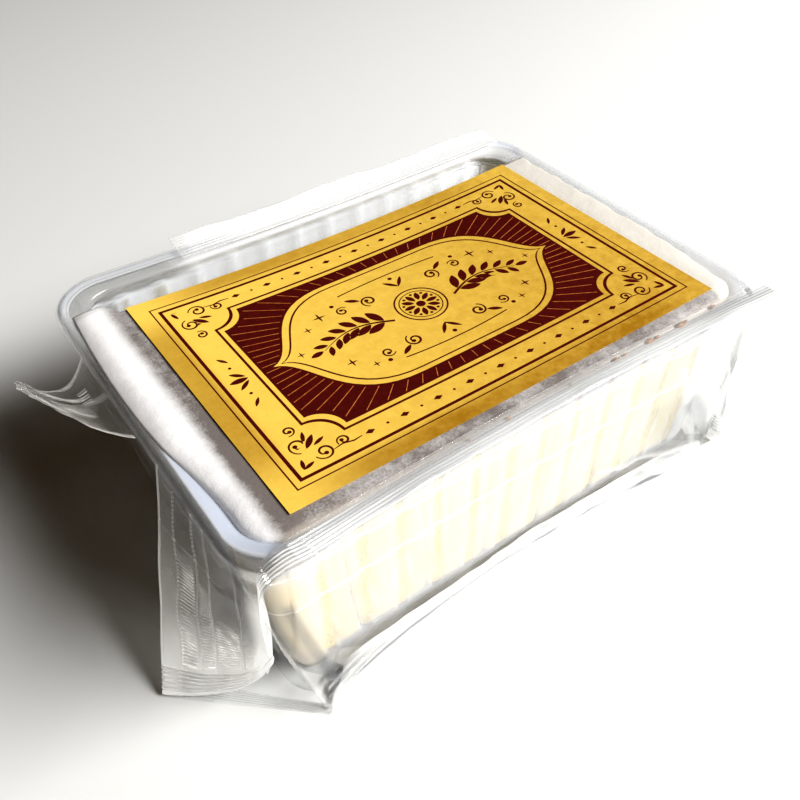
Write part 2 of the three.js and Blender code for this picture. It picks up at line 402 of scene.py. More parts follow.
def surface(steps_u, steps_v, place, ridge=None, weld=False, **shares):
    """Grid of faces laid on place(u, v), with u and v kept as its UV map.

    ridge(u, v) raises it along its normals and is kept as 'fold'. Every other share(u, v) is kept
    under its own name, such as how milky the piece is there or how much painted shade it has.
    """
    bm = bmesh.new()
    bm.loops.layers.uv.new("UVMap")
    bmesh.ops.create_grid(bm, x_segments=steps_u, y_segments=steps_v, size=0.5, calc_uvs=True)
    flat = np.array([v.co[:2] for v in bm.verts]) + 0.5
    for name, share in shares.items():
        layer = bm.verts.layers.float.new(name)
        for vert, value in zip(bm.verts, share(flat[:, 0], flat[:, 1])):
            vert[layer] = float(value)
    rise = bm.verts.layers.float.new("fold")
    if ridge:
        for vert, value in zip(bm.verts, ridge(flat[:, 0], flat[:, 1])):
            vert[rise] = float(value)
    for vert, point in zip(bm.verts, place(flat[:, 0], flat[:, 1])):
        vert.co = point * MM
    if weld:
        bmesh.ops.remove_doubles(bm, verts=bm.verts, dist=1e-7)
    bmesh.ops.recalc_face_normals(bm, faces=bm.faces)
    if ridge:
        bm.normal_update()
        for vert in bm.verts:
            vert.co += vert.normal * vert[rise] * MM
    return bm


def points_of(bm):
    """Every point's place, in millimetres."""
    return np.array([v.co[:] for v in bm.verts]) / MM


def emboss(bm, height, kept=True):
    """Moves every point along its normal by height(points), and adds it to 'fold' if kept."""
    bm.normal_update()
    heights = height(points_of(bm))
    layer = bm.verts.layers.float.get("fold") or bm.verts.layers.float.new("fold")
    for vert, rise in zip(bm.verts, heights):
        vert.co += vert.normal * float(rise) * MM
        vert[layer] += float(rise) if kept else 0.0


def thicken(bm, thickness):
    """Gives a sheet its wall."""
    bmesh.ops.solidify(bm, geom=bm.faces[:], thickness=thickness * MM)
    bmesh.ops.recalc_face_normals(bm, faces=bm.faces)


def keep_off_floor(bm):
    """Lifts what has sunk below the surface that the pack stands on."""
    for vert in bm.verts:
        vert.co.z = max(vert.co.z, 0.0)


def cut(bm, axis, at):
    """Cuts every face that crosses the plane square to an axis at the given place."""
    point, normal = [0, 0, 0], [0, 0, 0]
    point[axis], normal[axis] = at, 1
    geom = bm.verts[:] + bm.edges[:] + bm.faces[:]
    bmesh.ops.bisect_plane(bm, geom=geom, plane_co=point, plane_no=normal)


# ---- finishes ----


def film_finish(name, haze, crease, metallic, glow=0.0):
    """Clear film. crease gives the fold heights at which it starts and ends to whiten, and how
    much; glow is how much light its milky parts let through."""
    f = Finish(name)
    start, end, whitened = crease
    smears = f.noise(90, 4, 0.6).between(0.45, 0.75)
    opacity = haze + f.facing(0.3) ** 2.5 * 0.5
    opacity = opacity + f.attribute("fold").between(start, end) * whitened + smears * 0.05
    opacity = opacity + f.attribute("milky")
    ripple = f.noise(130, 2) * 0.25 + f.noise(420, 2, stretch=(1, 1, 0.25)) * 0.06
    # Where its painted-shade share is high, the film's colour turns dark grey: painted shade and
    # painted dark reflections.
    skin = f.principled({
        "Base Color": f.blend(f.attribute("grey"), tint("film"), FILM_PAINTED_SHADE),
        "Metallic": metallic, "Roughness": 0.1,
        "Specular IOR Level": 0.8, "Normal": f.bump(ripple, 0.5, 0.6),
        "Subsurface Weight": glow, "Subsurface Radius": (1, 1, 1), "Subsurface Scale": 0.003,
    })
    return f.finish_clear(opacity, skin)


def tray_finish():
    """Milky plastic that is clearer in its walls and bluer on the shoulder at the left, where that
    blue-grey is painted shade. It also has painted shade on the far-left shoulder and lip, painted
    light on the near-left corner, and painted highlights along the near wall's steps and on the
    right edge of each groove.
    """
    f = Finish("tray_plastic")
    flute, milky, cloud = f.attribute("flute"), f.attribute("milky"), f.noise(60)
    shoulder = milky.between(0.42, 0.62)
    far = f.across("Y", 50, 56) * f.across("Z", 30, 50)
    # Masks of the painted shade on the far-left shoulder and on its lip.
    far_left = f.across("X", -44, -56) * f.across("Y", 36, 48)
    far_lip = far_left * milky.between(0.30, 0.20) * milky.between(0.06, 0.10)

    def step_line(height):
        return f.across("Z", height - 0.7, height - 0.2) * f.across("Z", height + 0.7, height + 0.2)

    # Painted highlights along the two steps of the near wall.
    near_lines = (step_line(51.9) + step_line(37.0)) * f.across("Y", -52, -56)
    # Painted light: mask of a bright cream patch high on the near-left corner.
    near_left = f.across("X", -64, -76) * f.across("Y", -40, -52) * f.across("Z", 64, 58)
    # The flute share holds the painted highlight on the right edge of each groove.
    opacity = milky + flute * 0.32 + f.facing(0.35) ** 2 * 0.30 + cloud * 0.05
    opacity = opacity + far * 0.34 + near_lines * 0.4 + far * f.across("X", 40, 65) * 0.30
    opacity = opacity - shoulder * f.across("Y", 40, 56) * 0.62
    base = f.blend(cloud, tint("tray"), TRAY_CLOUD)
    # At the left the shoulder gets a darker blue-grey painted shade.
    at_left = f.across("X", -50, -78) * f.across("Y", 52, 30)
    base = f.blend(shoulder * 0.95, base, f.blend(at_left, TRAY_SHOULDER, TRAY_SHOULDER_LEFT_PAINTED_SHADE))
    # Painted shade on the far-left shoulder and its lip.
    base = f.blend(far_left * milky.between(0.30, 0.50) * 0.9, base, TRAY_FAR_LEFT_PAINTED_SHADE)
    base = f.blend(far_lip, base, TRAY_FAR_LIP_PAINTED_SHADE)
    # Painted light on the near-left corner.
    base = f.blend(near_left, base, TRAY_PAINTED_LIGHT)
    skin = f.principled({
        "Base Color": base, "Roughness": 0.16, "Specular IOR Level": 0.6,
        "Normal": f.bump(f.noise(220, 2), 0.06, 0.5),
    })
    return f.finish_clear(opacity, skin)


def crumb_finish():
    """Open yellow crumb, with caramel that has run into it at the foot of the left end."""
    f = Finish("castella_crumb")
    holes, fine = f.cells(620).between(0.12, 0.55), f.noise(1900, 4, 0.65)
    patches = f.noise(70, 3, 0.6)
    base = f.blend(patches.between(0.35, 0.7), tint("crumb"), tint("crumb_pale"))
    base = f.blend((1 - holes) * 0.35, base, CRUMB_PORE)
    base = f.blend(fine.between(0.55, 0.8) * 0.25, base, CRUMB_LIGHT)
    low_left = f.across("X", -52, -62) * f.across("Z", 10, 4)
    base = f.blend(low_left * f.noise(110, 3, 0.6).between(0.50, 0.62), base, CRUMB_STAIN)
    return f.finish(f.principled({
        "Base Color": base, "Roughness": 0.85, "Specular IOR Level": 0.2,
        "Subsurface Weight": 0.5, "Subsurface Radius": (1.0, 0.8, 0.5), "Subsurface Scale": 0.006,
        "Normal": f.bump(holes * 0.6 + fine * 0.4, 0.6, 0.8),
    }))


def crust_finish():
    """Baked skin, darker in patches."""
    f = Finish("castella_crust")
    patches = f.noise(240, 5, 0.6)
    base = f.blend(patches.between(0.3, 0.7), tint("crust"), CRUST_PATCH)
    base = f.blend(f.noise(1200, 3, 0.6).between(0.6, 0.75) * 0.6, base, CRUST_CRUMB)
    return f.finish(f.principled({
        "Base Color": base, "Roughness": patches.between(0.3, 0.8, 0.42, 0.7),
        "Normal": f.bump(patches + f.noise(1500, 2) * 0.5, 0.4, 0.7),
    }))


def sheet_finish():
    """Paper that is mottled where it lies on the cake and bare where its ends stand up, with
    painted shade on the left side of its rolled end, beside the label's left end and along its near
    strip.
    """
    f = Finish("cover_sheet_paper")
    mottle, broad, speck = f.noise(300, 4, 0.6), f.noise(70), f.noise(1500, 3, 0.7)
    from_end = f.axis("X").math("ABSOLUTE").between(77.4 * MM, 82.2 * MM)
    lifted = from_end.math("MAXIMUM", f.across("Y", -59.0, -63.5) * 0.5)
    patchy = (mottle - 0.5) * 0.7 + (broad - 0.5) * 0.9 + (speck - 0.5) * 0.8
    beside = f.across("X", -80, -76) * f.across("X", -70, -73.5)
    dark = (1 - lifted) * (0.87 - f.across("X", 20, 70) * 0.10) + patchy * (1 - lifted * 0.8)
    # Painted shade on the left side of the sheet's rolled end, and beside the label's left end.
    dark = dark + f.across("X", -83.5, -91.5) * 0.58
    dark = dark + beside * f.across("Y", 15, -30) * 0.30
    base = f.blend(dark.clamp(), tint("sheet"), tint("sheet_shade"))
    base = f.blend(f.across("X", 76.5, 78.5) * 0.85, base, SHEET_RIGHT)
    # Painted shade, tinted tan, along the sheet's near strip where it rolls down.
    base = f.blend(f.across("Y", -57.6, -60.0) * 0.75, base, SHEET_NEAR_PAINTED_SHADE)
    return f.finish(f.principled({
        "Base Color": base, "Roughness": 0.42, "Specular IOR Level": 0.6, "Sheen Weight": 0.1,
        "Normal": f.bump(mottle * 0.7 + speck * 0.3, 0.5, 0.6),
    }))


def gold_finish():
    """Gold paper, cloudy and deeper in tone towards the right and along its long sides. The deeper
    tone is partly printed and partly painted shade.
    """
    f = Finish("label_gold_paper")
    x, y = f.axis("X"), f.axis("Y")
    # Deeper towards the right: partly printed tone, partly painted shade.
    fade = (x / 0.16 + 0.5 - y / 0.34).between(0.0, 1.15, smooth=False)
    cloud, fibre = f.noise(260, 5, 0.72), f.noise(900, 3, 0.6)
    # Deeper along the long sides: partly printed tone, partly painted shade.
    from_side = (y - LABEL_CENTRE[1] * MM).math("ABSOLUTE").between(41.5 * MM, 47 * MM)
    from_side = from_side * x.math("ABSOLUTE").between(74 * MM, 45 * MM)
    at_left = f.across("X", -64, -70) * f.across("Y", -50, -30) * f.across("Y", 40, 20)
    shade = (1 - fade) ** 0.7 + (cloud - 0.5) * (0.25 + fade * 0.7) + (fibre - 0.5) * 0.15
    shade = shade - from_side * (0.30 + f.across("X", 20, -30) * 0.30)
    shade = shade - at_left * 0.62
    shade = shade + f.across("X", 35, 75) * 0.24
    return f.finish(f.principled({
        "Base Color": f.blend(shade.clamp(), tint("gold"), tint("gold_pale")),
        "Roughness": cloud.between(0.3, 0.7, 0.34, 0.5), "Specular IOR Level": 0.3,
        "Normal": f.bump(fibre, 0.03, 0.5),
    }))


def ink_finish():
    """Dark ink, slightly patchy."""
    f = Finish("label_ink")
    patchy = f.noise(600, 4, 0.6)
    return f.finish(f.principled({
        "Base Color": f.blend(patchy.between(0.35, 0.8) * 0.5, tint("ink"), INK_WORN),
        "Roughness": patchy.between(0.3, 0.7, 0.42, 0.6), "Specular IOR Level": 0.06,
    }))


def hairline_finish():
    """Thin rays, where the gold shows through the ink."""
    f = Finish("label_hairlines")
    patchy = f.noise(500, 3, 0.6)
    return f.finish(f.principled({
        "Base Color": f.blend(patchy.between(0.3, 0.7), HAIRLINE, HAIRLINE_PALE),
        "Roughness": patchy.between(0.3, 0.7, 0.4, 0.55),
    }))


def floor_finish():
    """Pale floor that turns into the room's brown wall far away."""
    f = Finish("studio_floor")
    base = f.blend(f.noise(3) * 0.12, tint("floor"), FLOOR_PATCH)
    base = f.blend(f.axis("Z").between(0.15, 0.6), base, STUDIO_WALL)
    return f.finish(f.principled({
        "Base Color": base, "Roughness": 0.6, "Specular IOR Level": 0.3,
    }))


# ---- film ----

# The film's length round the pack, in millimetres, for measuring on it.
ROUND = 600.0

# Folds of the hanging film: share of the way round and height at the start and at the end, then
# widths and how far they stand out there. The near side runs from 0.59 at the left to 0.79.
FOLDS = (
    (0.524, 56, 0.566, 0, 1.4, 3.6, 0.8, 6.4),
    (0.556, 10, 0.655, 3, 1.4, 1.2, 0.8, 0.9),
    (0.62, 9, 0.705, 4, 1.6, 1.2, 1.3, 0.9),
    (0.66, 3, 0.740, 9, 1.2, 1.4, 1.0, 1.0),
    (0.69, 9, 0.785, 3, 1.6, 1.4, 1.2, 0.9),
    (0.725, 22, 0.795, 5, 1.4, 1.6, 0.7, 1.0),
    (0.76, 55, 0.785, 8, 1.6, 2.4, 0.8, 1.6),
    (0.775, 60, 0.835, 0, 1.6, 4.5, 0.8, 4.0),
    (0.80, 60, 0.800, 10, 1.4, 2.0, 0.9, 1.6),
    (0.825, 62, 0.860, 14, 1.6, 2.6, 1.0, 1.6),
    (0.88, 60, 0.905, 8, 2.0, 2.6, 1.0, 1.4),
    (0.93, 56, 0.95, 6, 2.4, 3.0, 0.7, 1.2),
    (0.975, 60, 0.965, 6, 2.0, 3.0, 0.7, 1.2),
    (0.035, 60, 0.050, 0, 1.8, 4.5, 0.9, 4.0),
    (0.075, 60, 0.110, 6, 1.6, 2.0, 0.8, 1.0),
    (0.13, 10, 0.215, 4, 1.6, 1.4, 1.1, 0.9),
    (0.20, 4, 0.28, 10, 1.4, 1.6, 1.0, 1.1),
    (0.18, 58, 0.195, 14, 1.8, 2.4, 0.6, 0.9),
    (0.25, 58, 0.235, 12, 1.8, 2.4, 0.6, 0.9),
    (0.315, 60, 0.335, 0, 1.8, 4.5, 0.9, 4.0),
    (0.35, 58, 0.37, 6, 1.8, 2.6, 0.8, 1.3),
    (0.40, 54, 0.43, 8, 2.0, 2.8, 0.8, 1.2),
    (0.46, 56, 0.45, 10, 2.0, 3.0, 0.7, 1.2),
    (0.50, 60, 0.49, 6, 2.0, 3.0, 0.8, 1.4),
)


def film_place(u, v):
    """The bag's film: sagging top, rolled rim, hanging skirt and flat base, as v goes 0 to 1."""
    height, rolled, rise, reach = mm("pack_height"), 4.3, 0.4, 0.965
    flat, edge, foot = 0.40, 0.50, 0.88
    rim_x, rim_y = outline(
        u, mm("rim_length") / 2, mm("rim_width") / 2, mm("rim_radius"), mm("rim_bow")
    )
    foot_x, foot_y = outline(
        u, mm("foot_length") / 2, mm("foot_width") / 2, mm("foot_radius"), mm("foot_bow")
    )
    foot_x = foot_x + mm("foot_shift")
    turn = unit((v - flat) / (edge - flat)) * math.pi / 2
    share = reach * (1 - (1 - unit(v / flat)) ** 1.35)
    share = np.where(v > flat, reach + (1 - reach) * np.sin(turn), share)
    x, y = rim_x * share, rim_y * share
    z = np.where(v > flat, height - rolled * (1 - np.cos(turn)) ** 1.2, film_top(x, y))
    fall = unit((v - edge) / (foot - edge))
    x = np.where(v > edge, mix(rim_x, foot_x, fall**0.85), x)
    y = np.where(v > edge, mix(rim_y, foot_y, fall**0.85), y)
    z = np.where(v > edge, mix(height - rolled, rise, fall), z)
    under = unit((v - foot) / (1 - foot))
    x, y = np.where(v > foot, foot_x * (1 - under), x), np.where(v > foot, foot_y * (1 - under), y)
    return np.stack([x, y, np.where(v > foot, rise * (1 - unit(under * 20)), z)], axis=1)


def on_skirt(v):
    """1 where the film hangs, and 0 on the top and under the base."""
    return (v > 0.46) & (v < 0.90)


def from_line(u, z, u0, z0, u1, z1):
    """How far a place on the skirt lies from a line, and the share of the way along the line."""
    way = np.array([(u1 - u0) * ROUND, z1 - z0])
    at = np.stack([(u - u0) * ROUND, z - z0], axis=1)
    t = unit(at @ way / (way @ way))
    return np.linalg.norm(at - t[:, None] * way, axis=1), t


def film_folds(u, v):
    """How far the film stands out of its plain envelope."""
    z = film_place(u, v)[:, 2]
    hanging = unit((mm("pack_height") - 4 - z) / 5) * on_skirt(v)
    total = np.zeros_like(u)
    for *line, w0, w1, h0, h1 in FOLDS:
        away, t = from_line(u, z, *line)
        rise = mix(h0, h1, t) * hump(away, mix(w0, w1, t), 1.3)
        total = np.where(np.abs(rise) > np.abs(total), rise, total)
    return total * hanging


def film_waves(points):
    """Broad slack in the hanging film and faint tension over the top."""
    z = points[:, 2]
    hanging = unit((mm("pack_height") - 5 - z) / 8) * unit(z / 2)
    on_top = unit((z - mm("pack_height") + 6) / 3)
    slack = grain(points * (1, 1, 0.35), 16) * 1.5 + grain(points * (1, 1, 0.5), 7, 4) * 0.45
    return slack * hanging + grain(points, 22, 5) * 0.12 * on_top


# Painted highlights and painted shade on the bag's film: share of the way round and height at
# either end, width, how milky it is there, which paints a highlight, and how much painted shade it
# has.
SHEENS = (
    (0.558, 46, 0.578, 8, 5.0, 0.46, 1.0),
    (0.588, 8, 0.610, 3, 2.5, 0.22, 0.9),
    (0.775, 34, 0.795, 12, 4.0, 0.50, 0.95),
    (0.800, 46, 0.815, 20, 2.8, 0.36, 0.8),
    (0.840, 58, 0.850, 14, 3.0, 0.28, 0.8),
)
# Painted highlight where the film goes over the rim's near-left corner.
CORNER_SHEEN = (0.540, 66, 0.585, 66)


def capsule(u, z, line, width):
    """1 along a line on the skirt, with soft edges."""
    return hump(from_line(u, z, *line)[0], width, 3)


# Milkiness of the bag's film: whiter fold crests, and the painted highlights of the sheens.
def film_milky(u, v):
    z = film_place(u, v)[:, 2]
    crests = sum(0.34 * min(abs(h1), 1) * capsule(u, z, line, 1.1)
                 for *line, w0, w1, h0, h1 in FOLDS)
    sheens = sum(milk * capsule(u, z, line, width) for *line, width, milk, grey in SHEENS)
    return (crests + sheens) * on_skirt(v) + 0.4 * capsule(u, z, CORNER_SHEEN, 6.0) * (v > 0.42)


# Painted shade on the bag's film, from the sheens.
def film_grey(u, v):
    z = film_place(u, v)[:, 2]
    greys = (grey * capsule(u, z, line, width * 1.3) for *line, width, milk, grey in SHEENS)
    return sum(greys) * on_skirt(v)


class CASTELLA_OT_film(bpy.types.Operator):
    """Wrap the tray in its clear film"""

    bl_idname = "castella.film"
    bl_label = "Film"

    def execute(self, context):
        finish = film_finish("clear_film", haze=0.07, crease=(0.25, 1.6, 0.0), metallic=0.75)
        bm = surface(460, 150, film_place, film_folds, weld=True, milky=film_milky, grey=film_grey)
        emboss(bm, film_waves, kept=False)
        keep_off_floor(bm)
        film = piece("film", bm, [finish])
        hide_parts("bag")
        return {"FINISHED"}


# ---- end seals ----

# The near seal's folded end, from the rim to its tip: its outer and its inner edge.
TAIL_OUTER = (
    (-76, -70.2, 69.2), (-84, -69.6, 68.4), (-89.6, -67.6, 63), (-90.4, -64.6, 50),
    (-89.4, -61.5, 34), (-88.6, -58.8, 21), (-89.5, -57.6, 12),
)
TAIL_INNER = (
    (-76, -62.4, 68.2), (-82.0, -61.6, 67.8), (-87.6, -61.2, 63), (-87.2, -60.4, 50),
    (-86.6, -58.4, 34), (-86.4, -56.6, 21), (-87.0, -55.4, 12),
)


def crimps(distance, first, last):
    """Ribs of a crimped seal where distance, in millimetres, is from first to last."""
    within = unit((distance - first) / 0.4) * unit((last - distance) / 0.4)
    return 0.2 * np.cos(2 * math.pi * (distance - first) / mm("crimp_pitch")) * within


def seal_place(side, width, from_x, to_x, overhang, lift):
    """A seal along one long side of the rim, whose outer edge curls up."""
    rim_length, rim_width, bow = mm("rim_length"), mm("rim_width"), mm("rim_bow")

    def place(u, v):
        x = mix(from_x, to_x, u)
        outer = rim_width / 2 - bow * np.cos(math.pi * x / rim_length) + overhang
        curl = lift * v * (1.4 - (2 * x / rim_length) ** 2)
        wave = 0.5 * np.sin(x / 9) * v**2
        y = side * (outer - (1 - v) * width + 0.25 * np.sin(x / 3.1) * v**4)
        z = mm("pack_height") + 0.25 + curl + wave
        return np.stack([x, y, z], axis=1)

    return place


def tail_place(u, v):
    """The near seal's left end, which folds down over the rim's corner to the flap's foot."""
    return mix(along(u, TAIL_INNER), along(u, TAIL_OUTER), v[:, None])


# A share gives how milky a piece is, or how much painted shade it has, at a place (u, v) on it. A
# strength gives how high a seal's ribs stand along it, where 1 is full height.


def no_share(u, v):
    return 0 * u


def near_strength(u):
    return np.clip(1 - (u - 0.05) / 0.16, 0.16, 1) + 0.25 * unit((u - 0.84) / 0.06)


def near_milky(u, v):
    lines = hump(v - 0.22 - 0.25 * u, 0.02) + hump(v - 0.62 + 0.1 * u, 0.025)
    end = unit((u - 0.80) / 0.1) * unit((v - 0.15) * 6)
    outer = unit((v - 0.40) / 0.2) * unit(u * 8)
    return 0.25 * lines + 0.25 * end + 0.36 * outer


# Painted shade at the near seal's right end.
def near_grey(u, v):
    return 0.45 * unit((u - 0.80) / 0.1) * unit((v - 0.1) * 5) * unit((0.85 - v) * 5)


def far_strength(u):
    return unit(u / 0.04) * np.clip(0.9 - u * 0.6, 0.25, 1)


def far_milky(u, v):
    dots = (0.5 + 0.5 * np.sin(u * 560)) * (0.5 + 0.5 * np.sin(v * 46)) * unit(1 - u / 0.12)
    return 0.30 * dots + 0.35 * unit((u - 0.06) / 0.12)


def tail_strength(u):
    return 1.2 * np.clip(1 - (u - 0.38) / 0.2, 0.15, 1)


def tail_valleys(u, v):
    """1 between the ribs of the folded end where it goes round the rim's corner."""
    between_ribs = 0.5 - 0.5 * np.cos(2 * math.pi * (v * mm("near_seal") - 0.9) / mm("crimp_pitch"))
    return between_ribs * hump(u - 0.30, 0.10)


def tail_milky(u, v):
    return 0.34 * unit((u - 0.34) / 0.2) + 0.55 * tail_valleys(u, v)


# Painted shade between the ribs where the folded end goes round the rim's corner, and along its
# inner edge lower down.
def tail_grey(u, v):
    return unit(tail_valleys(u, v) + 0.4 * unit((0.3 - v) / 0.3) * unit((u - 0.3) / 0.2))


class CASTELLA_OT_seals(bpy.types.Operator):
    """Crimp the film's end seals along the long sides of the rim"""

    bl_idname = "castella.seals"
    bl_label = "End seals"

    def execute(self, context):
        finish = film_finish("crimped_film", haze=0.12, crease=(0.02, 0.2, 0.6), metallic=0.15)
        near, far = mm("near_seal"), mm("far_seal")
        for name, width, steps, place, strength, milky, grey in (
            ("near_end_seal", near, (260, 56), seal_place(-1, near, -80, 92, 0.4, 1.2),
             near_strength, near_milky, near_grey),
            ("far_end_seal", far, (220, 72), seal_place(1, far, -49, 88, 1.4, 1.6),
             far_strength, far_milky, no_share),
            ("near_seal_tail", near, (150, 48), tail_place,
             tail_strength, tail_milky, tail_grey),
        ):
            def ridge(u, v, width=width, strength=strength):
                return crimps(v * width, 0.9, width - 0.3) * strength(u)

            bm = surface(*steps, place, ridge, milky=milky, grey=grey)
            thicken(bm, 0.25)
            piece(name, bm, [finish])
        return {"FINISHED"}


# ---- loose flaps ----

# Length, from the rim to the hem, and width of the flaps at the left and at the right.
LEFT_RUN, LEFT_SPAN = 70, 48
RIGHT_RUN, RIGHT_SPAN = 68, 36
FLOOR_RUN, FLOOR_SPAN = 42.0, 52.0

# From one rib to the next in a flap's hem and in its knurled strips.
HEM_PITCH, KNURL_PITCH = 1.5, 1.25

# Knurled strips of a corner flap: first and last share across, first share down, and strength.
KNURLS = (
    (0.13, 0.25, 0.26, 0.8),
    (0.27, 0.37, 0.33, 1.0),
    (0.38, 0.60, 0.48, 0.6),
    (0.62, 0.74, 0.54, 0.9),
)

# The fold along the near wall's foot, from left to right: its inner and its outer edge.
FOOT_INNER = (
    (-74, -63.0, 2.2), (-62, -61.6, 3.6), (-46, -61.2, 4.4), (-30, -61.0, 4.8), (-12, -60.8, 5.8),
    (6, -60.7, 7.4), (24, -60.8, 6.2), (42, -61.0, 5.6), (60, -62.0, 6.0), (80, -64.6, 8.0),
)
FOOT_OUTER = (
    (-78, -70.2, 0.4), (-64, -67.6, 0.5), (-48, -65.2, 0.6), (-30, -63.6, 0.8), (-12, -62.8, 1.4),
    (6, -63.2, 1.0), (24, -63.6, 0.6), (42, -64.8, 0.5), (60, -67.2, 0.5), (82, -71.0, 0.4),
)

# How the painted satin sheen of the near-left flap comes up towards its hem.
SATIN_RISE = (-0.02, -0.02, -0.01, 0.0, 0.04, 0.16, 0.42, 0.60, 0.64)

# Flaps: two edges that run out from the rim, each a curve of three points, and the middles of
# the curves that join their starts and their ends.
NEAR_LEFT = (
    ((-92.8, -16.5, 63), (-102.6, -26.5, 34), (-114.6, -40, 1.6)),
    ((-88.7, -64, 64), (-86.4, -62.6, 38), (-87.5, -57.6, 16)),
    (-94.4, -62, 65),
    (-95, -56, 0.8),
)
ON_FLOOR = (
    ((-80, -18, 0.5), (-98, -32, 0.5), (-115, -39.8, 0.5)),
    ((-68, -62, 0.5), (-74, -68, 0.5), (-79, -72.4, 0.5)),
    (-79, -42, 0.5),
    (-100, -53.4, 0.5),
)
FAR_LEFT = (
    ((-93, -4, 62), (-101.7, 10, 57), (-111.1, 49.3, 50.5)),
    ((-93, 36, 63), (-104, 23.5, 56.5), (-110.8, 50.5, 52.5)),
    (-93.4, 16, 63),
    (-111.2, 49.8, 51.6),
)
NEAR_RIGHT = (
    ((93, -30, 63), (98, -48, 32), (99, -67, 1.6)),
    ((88.7, -64, 64), (88, -65, 36), (86, -64, 9)),
    (94.4, -62, 65),
    (91, -68, 1.4),
)


def hung(first, last, middle_start, middle_end):
    """A flap's surface, from its row in the tables above."""
    start = bezier(first[0], middle_start, last[0])
    end = bezier(first[2], middle_end, last[2])
    return spanned(bezier(*first), bezier(*last), start, end)


def across_pack(place):
    """The same flap on the other long side."""
    return lambda u, v: place(u, v) * (1, -1, 1)


def near_foot_fold(u, v):
    """Film that has slid down the near wall and lies folded along its foot."""
    return mix(along(u, FOOT_INNER), along(u, FOOT_OUTER), v[:, None])


def creased(u, v, widths, size, seed):
    """Noise laid along the fold at the foot, which is 160 mm long."""
    return grain(np.stack([u * 160, v * widths, 0 * u], axis=1), size, seed)


def foot_ridges(u, v):
    """A pleat along the outer edge, one that wanders, and small creases in patches."""
    pleats = 0.5 * unit(u * 8) * hump(v - 0.86, 0.07)
    pleats = pleats + 0.35 * hump(v - 0.45 + 0.25 * np.sin(u * 7), 0.08)
    return pleats + 0.12 * np.sin(v * 20 + u * 30) * unit(0.5 + creased(u, v, 9, 11, 5) * 2)


def foot_patches(u, v):
    """Where the fold is bunched up."""
    ragged = unit(0.5 + 2.2 * creased(u, v, 14, 12, 9))
    gathered = hump(u - 0.60, 0.10) + hump(u - 0.87, 0.09)
    return gathered * ragged * unit(v * 5) * unit((0.95 - v) * 6)


def foot_line(u, v):
    """The line of the outer pleat."""
    return hump(v - 0.80 + 0.10 * np.sin(u * 4), 0.10) * unit(1.25 - u) * unit(u * 9)


def foot_milky(u, v):
    inner = unit((0.80 - v) * 3) * unit(u * 9 - 0.4) * unit((0.97 - u) * 6)
    return 0.55 * foot_line(u, v) + 0.50 * foot_patches(u, v) + 0.62 * inner


# Painted shade on the fold at the foot: on its bunched patches and its outer pleat, and faintly all
# over.
def foot_grey(u, v):
    return unit(0.02 + 0.8 * foot_patches(u, v) + 0.95 * foot_line(u, v))


def knurled(u, v, run, span):
    """Share of knurling on a flap, and its beat from -1 to 1."""
    at = u * run
    rough = unit(0.8 + 0.8 * grain(np.stack([at, v * span, 0 * u], axis=1), 4.0, 3))
    beat = np.sin(2 * math.pi * (at + 0.2 * np.sin(v * 17)) / KNURL_PITCH)
    strips = 0
    for first, last, top, strength in KNURLS:
        across = unit((v - first) * 60) * unit((last - v) * 60)
        strips = strips + across * strength * unit((u - top) * 9) * unit((0.86 - u) * 30)
    return strips * rough, beat


def flap_lines(u, v, span):
    """Fine lines that run down a flap."""
    wander = 0.008 * np.sin(u * 17 + v * 9)
    return sum(hump((v - at - wander) * span, 0.34) for at in (0.13, 0.265, 0.37, 0.61))


def hem_beat(u, run):
    """The ribs of a flap's hem, from -1 to 1."""
    at = u * run
    within = unit((at - run + 9.0) / 0.4) * unit((run - 0.8 - at) / 0.4)
    return np.cos(2 * math.pi * (at - run) / HEM_PITCH) * within


def flap_ridges(run, span, knurl):
    """Crimped hem along a flap's foot, knurled strips over its middle and fine lines down it."""

    def ridge(u, v):
        strips, beat = knurled(u, v, run, span)
        dots = 0.5 + 0.3 * np.sin(2 * math.pi * u * run / HEM_PITCH)
        rim = 0.22 * hump(v * span, 0.6)
        step = 0.06 * hump((u - 0.235 - 0.05 * v) * run, 0.35) * (v < 0.5)
        lines = flap_lines(u, v, span) * dots * (u < 0.87)
        return 0.38 * hem_beat(u, run) + rim + step + knurl * (0.30 * beat * strips + 0.10 * lines)

    return ridge


def pointed_ridges(u, v):
    """Lengthwise pleats that gather at the flap's tip, thickened edges and a small ladder."""
    pleats = 0.45 * np.sin(v * 19 + 2.5 * np.sin(u * 5)) ** 3 * unit(u * 1.6 - 0.3)
    edges = 0.3 * (hump(v, 0.03) + hump(1 - v, 0.03))
    ladder = 0.2 * np.sin(v * 150) * (np.abs(u - 0.24) < 0.07) * (np.abs(v - 0.62) < 0.13)
    return pleats + edges + ladder + crimps(u * 78, 70.0, 77.0)


def floor_ridges(u, v):
    """Crimped hem of the film on the floor, and teeth at its corner."""
    at = u * FLOOR_RUN
    teeth = 0.12 * np.sin(2 * math.pi * v * FLOOR_SPAN / 1.3) * (at > FLOOR_RUN - 7) * (v < 0.2)
    return crimps(at, FLOOR_RUN - 8.6, FLOOR_RUN - 0.9) + teeth


def floor_milky(u, v):
    return 0.14 * unit(v * 4) * unit((u - 0.8) * 20) - 0.01


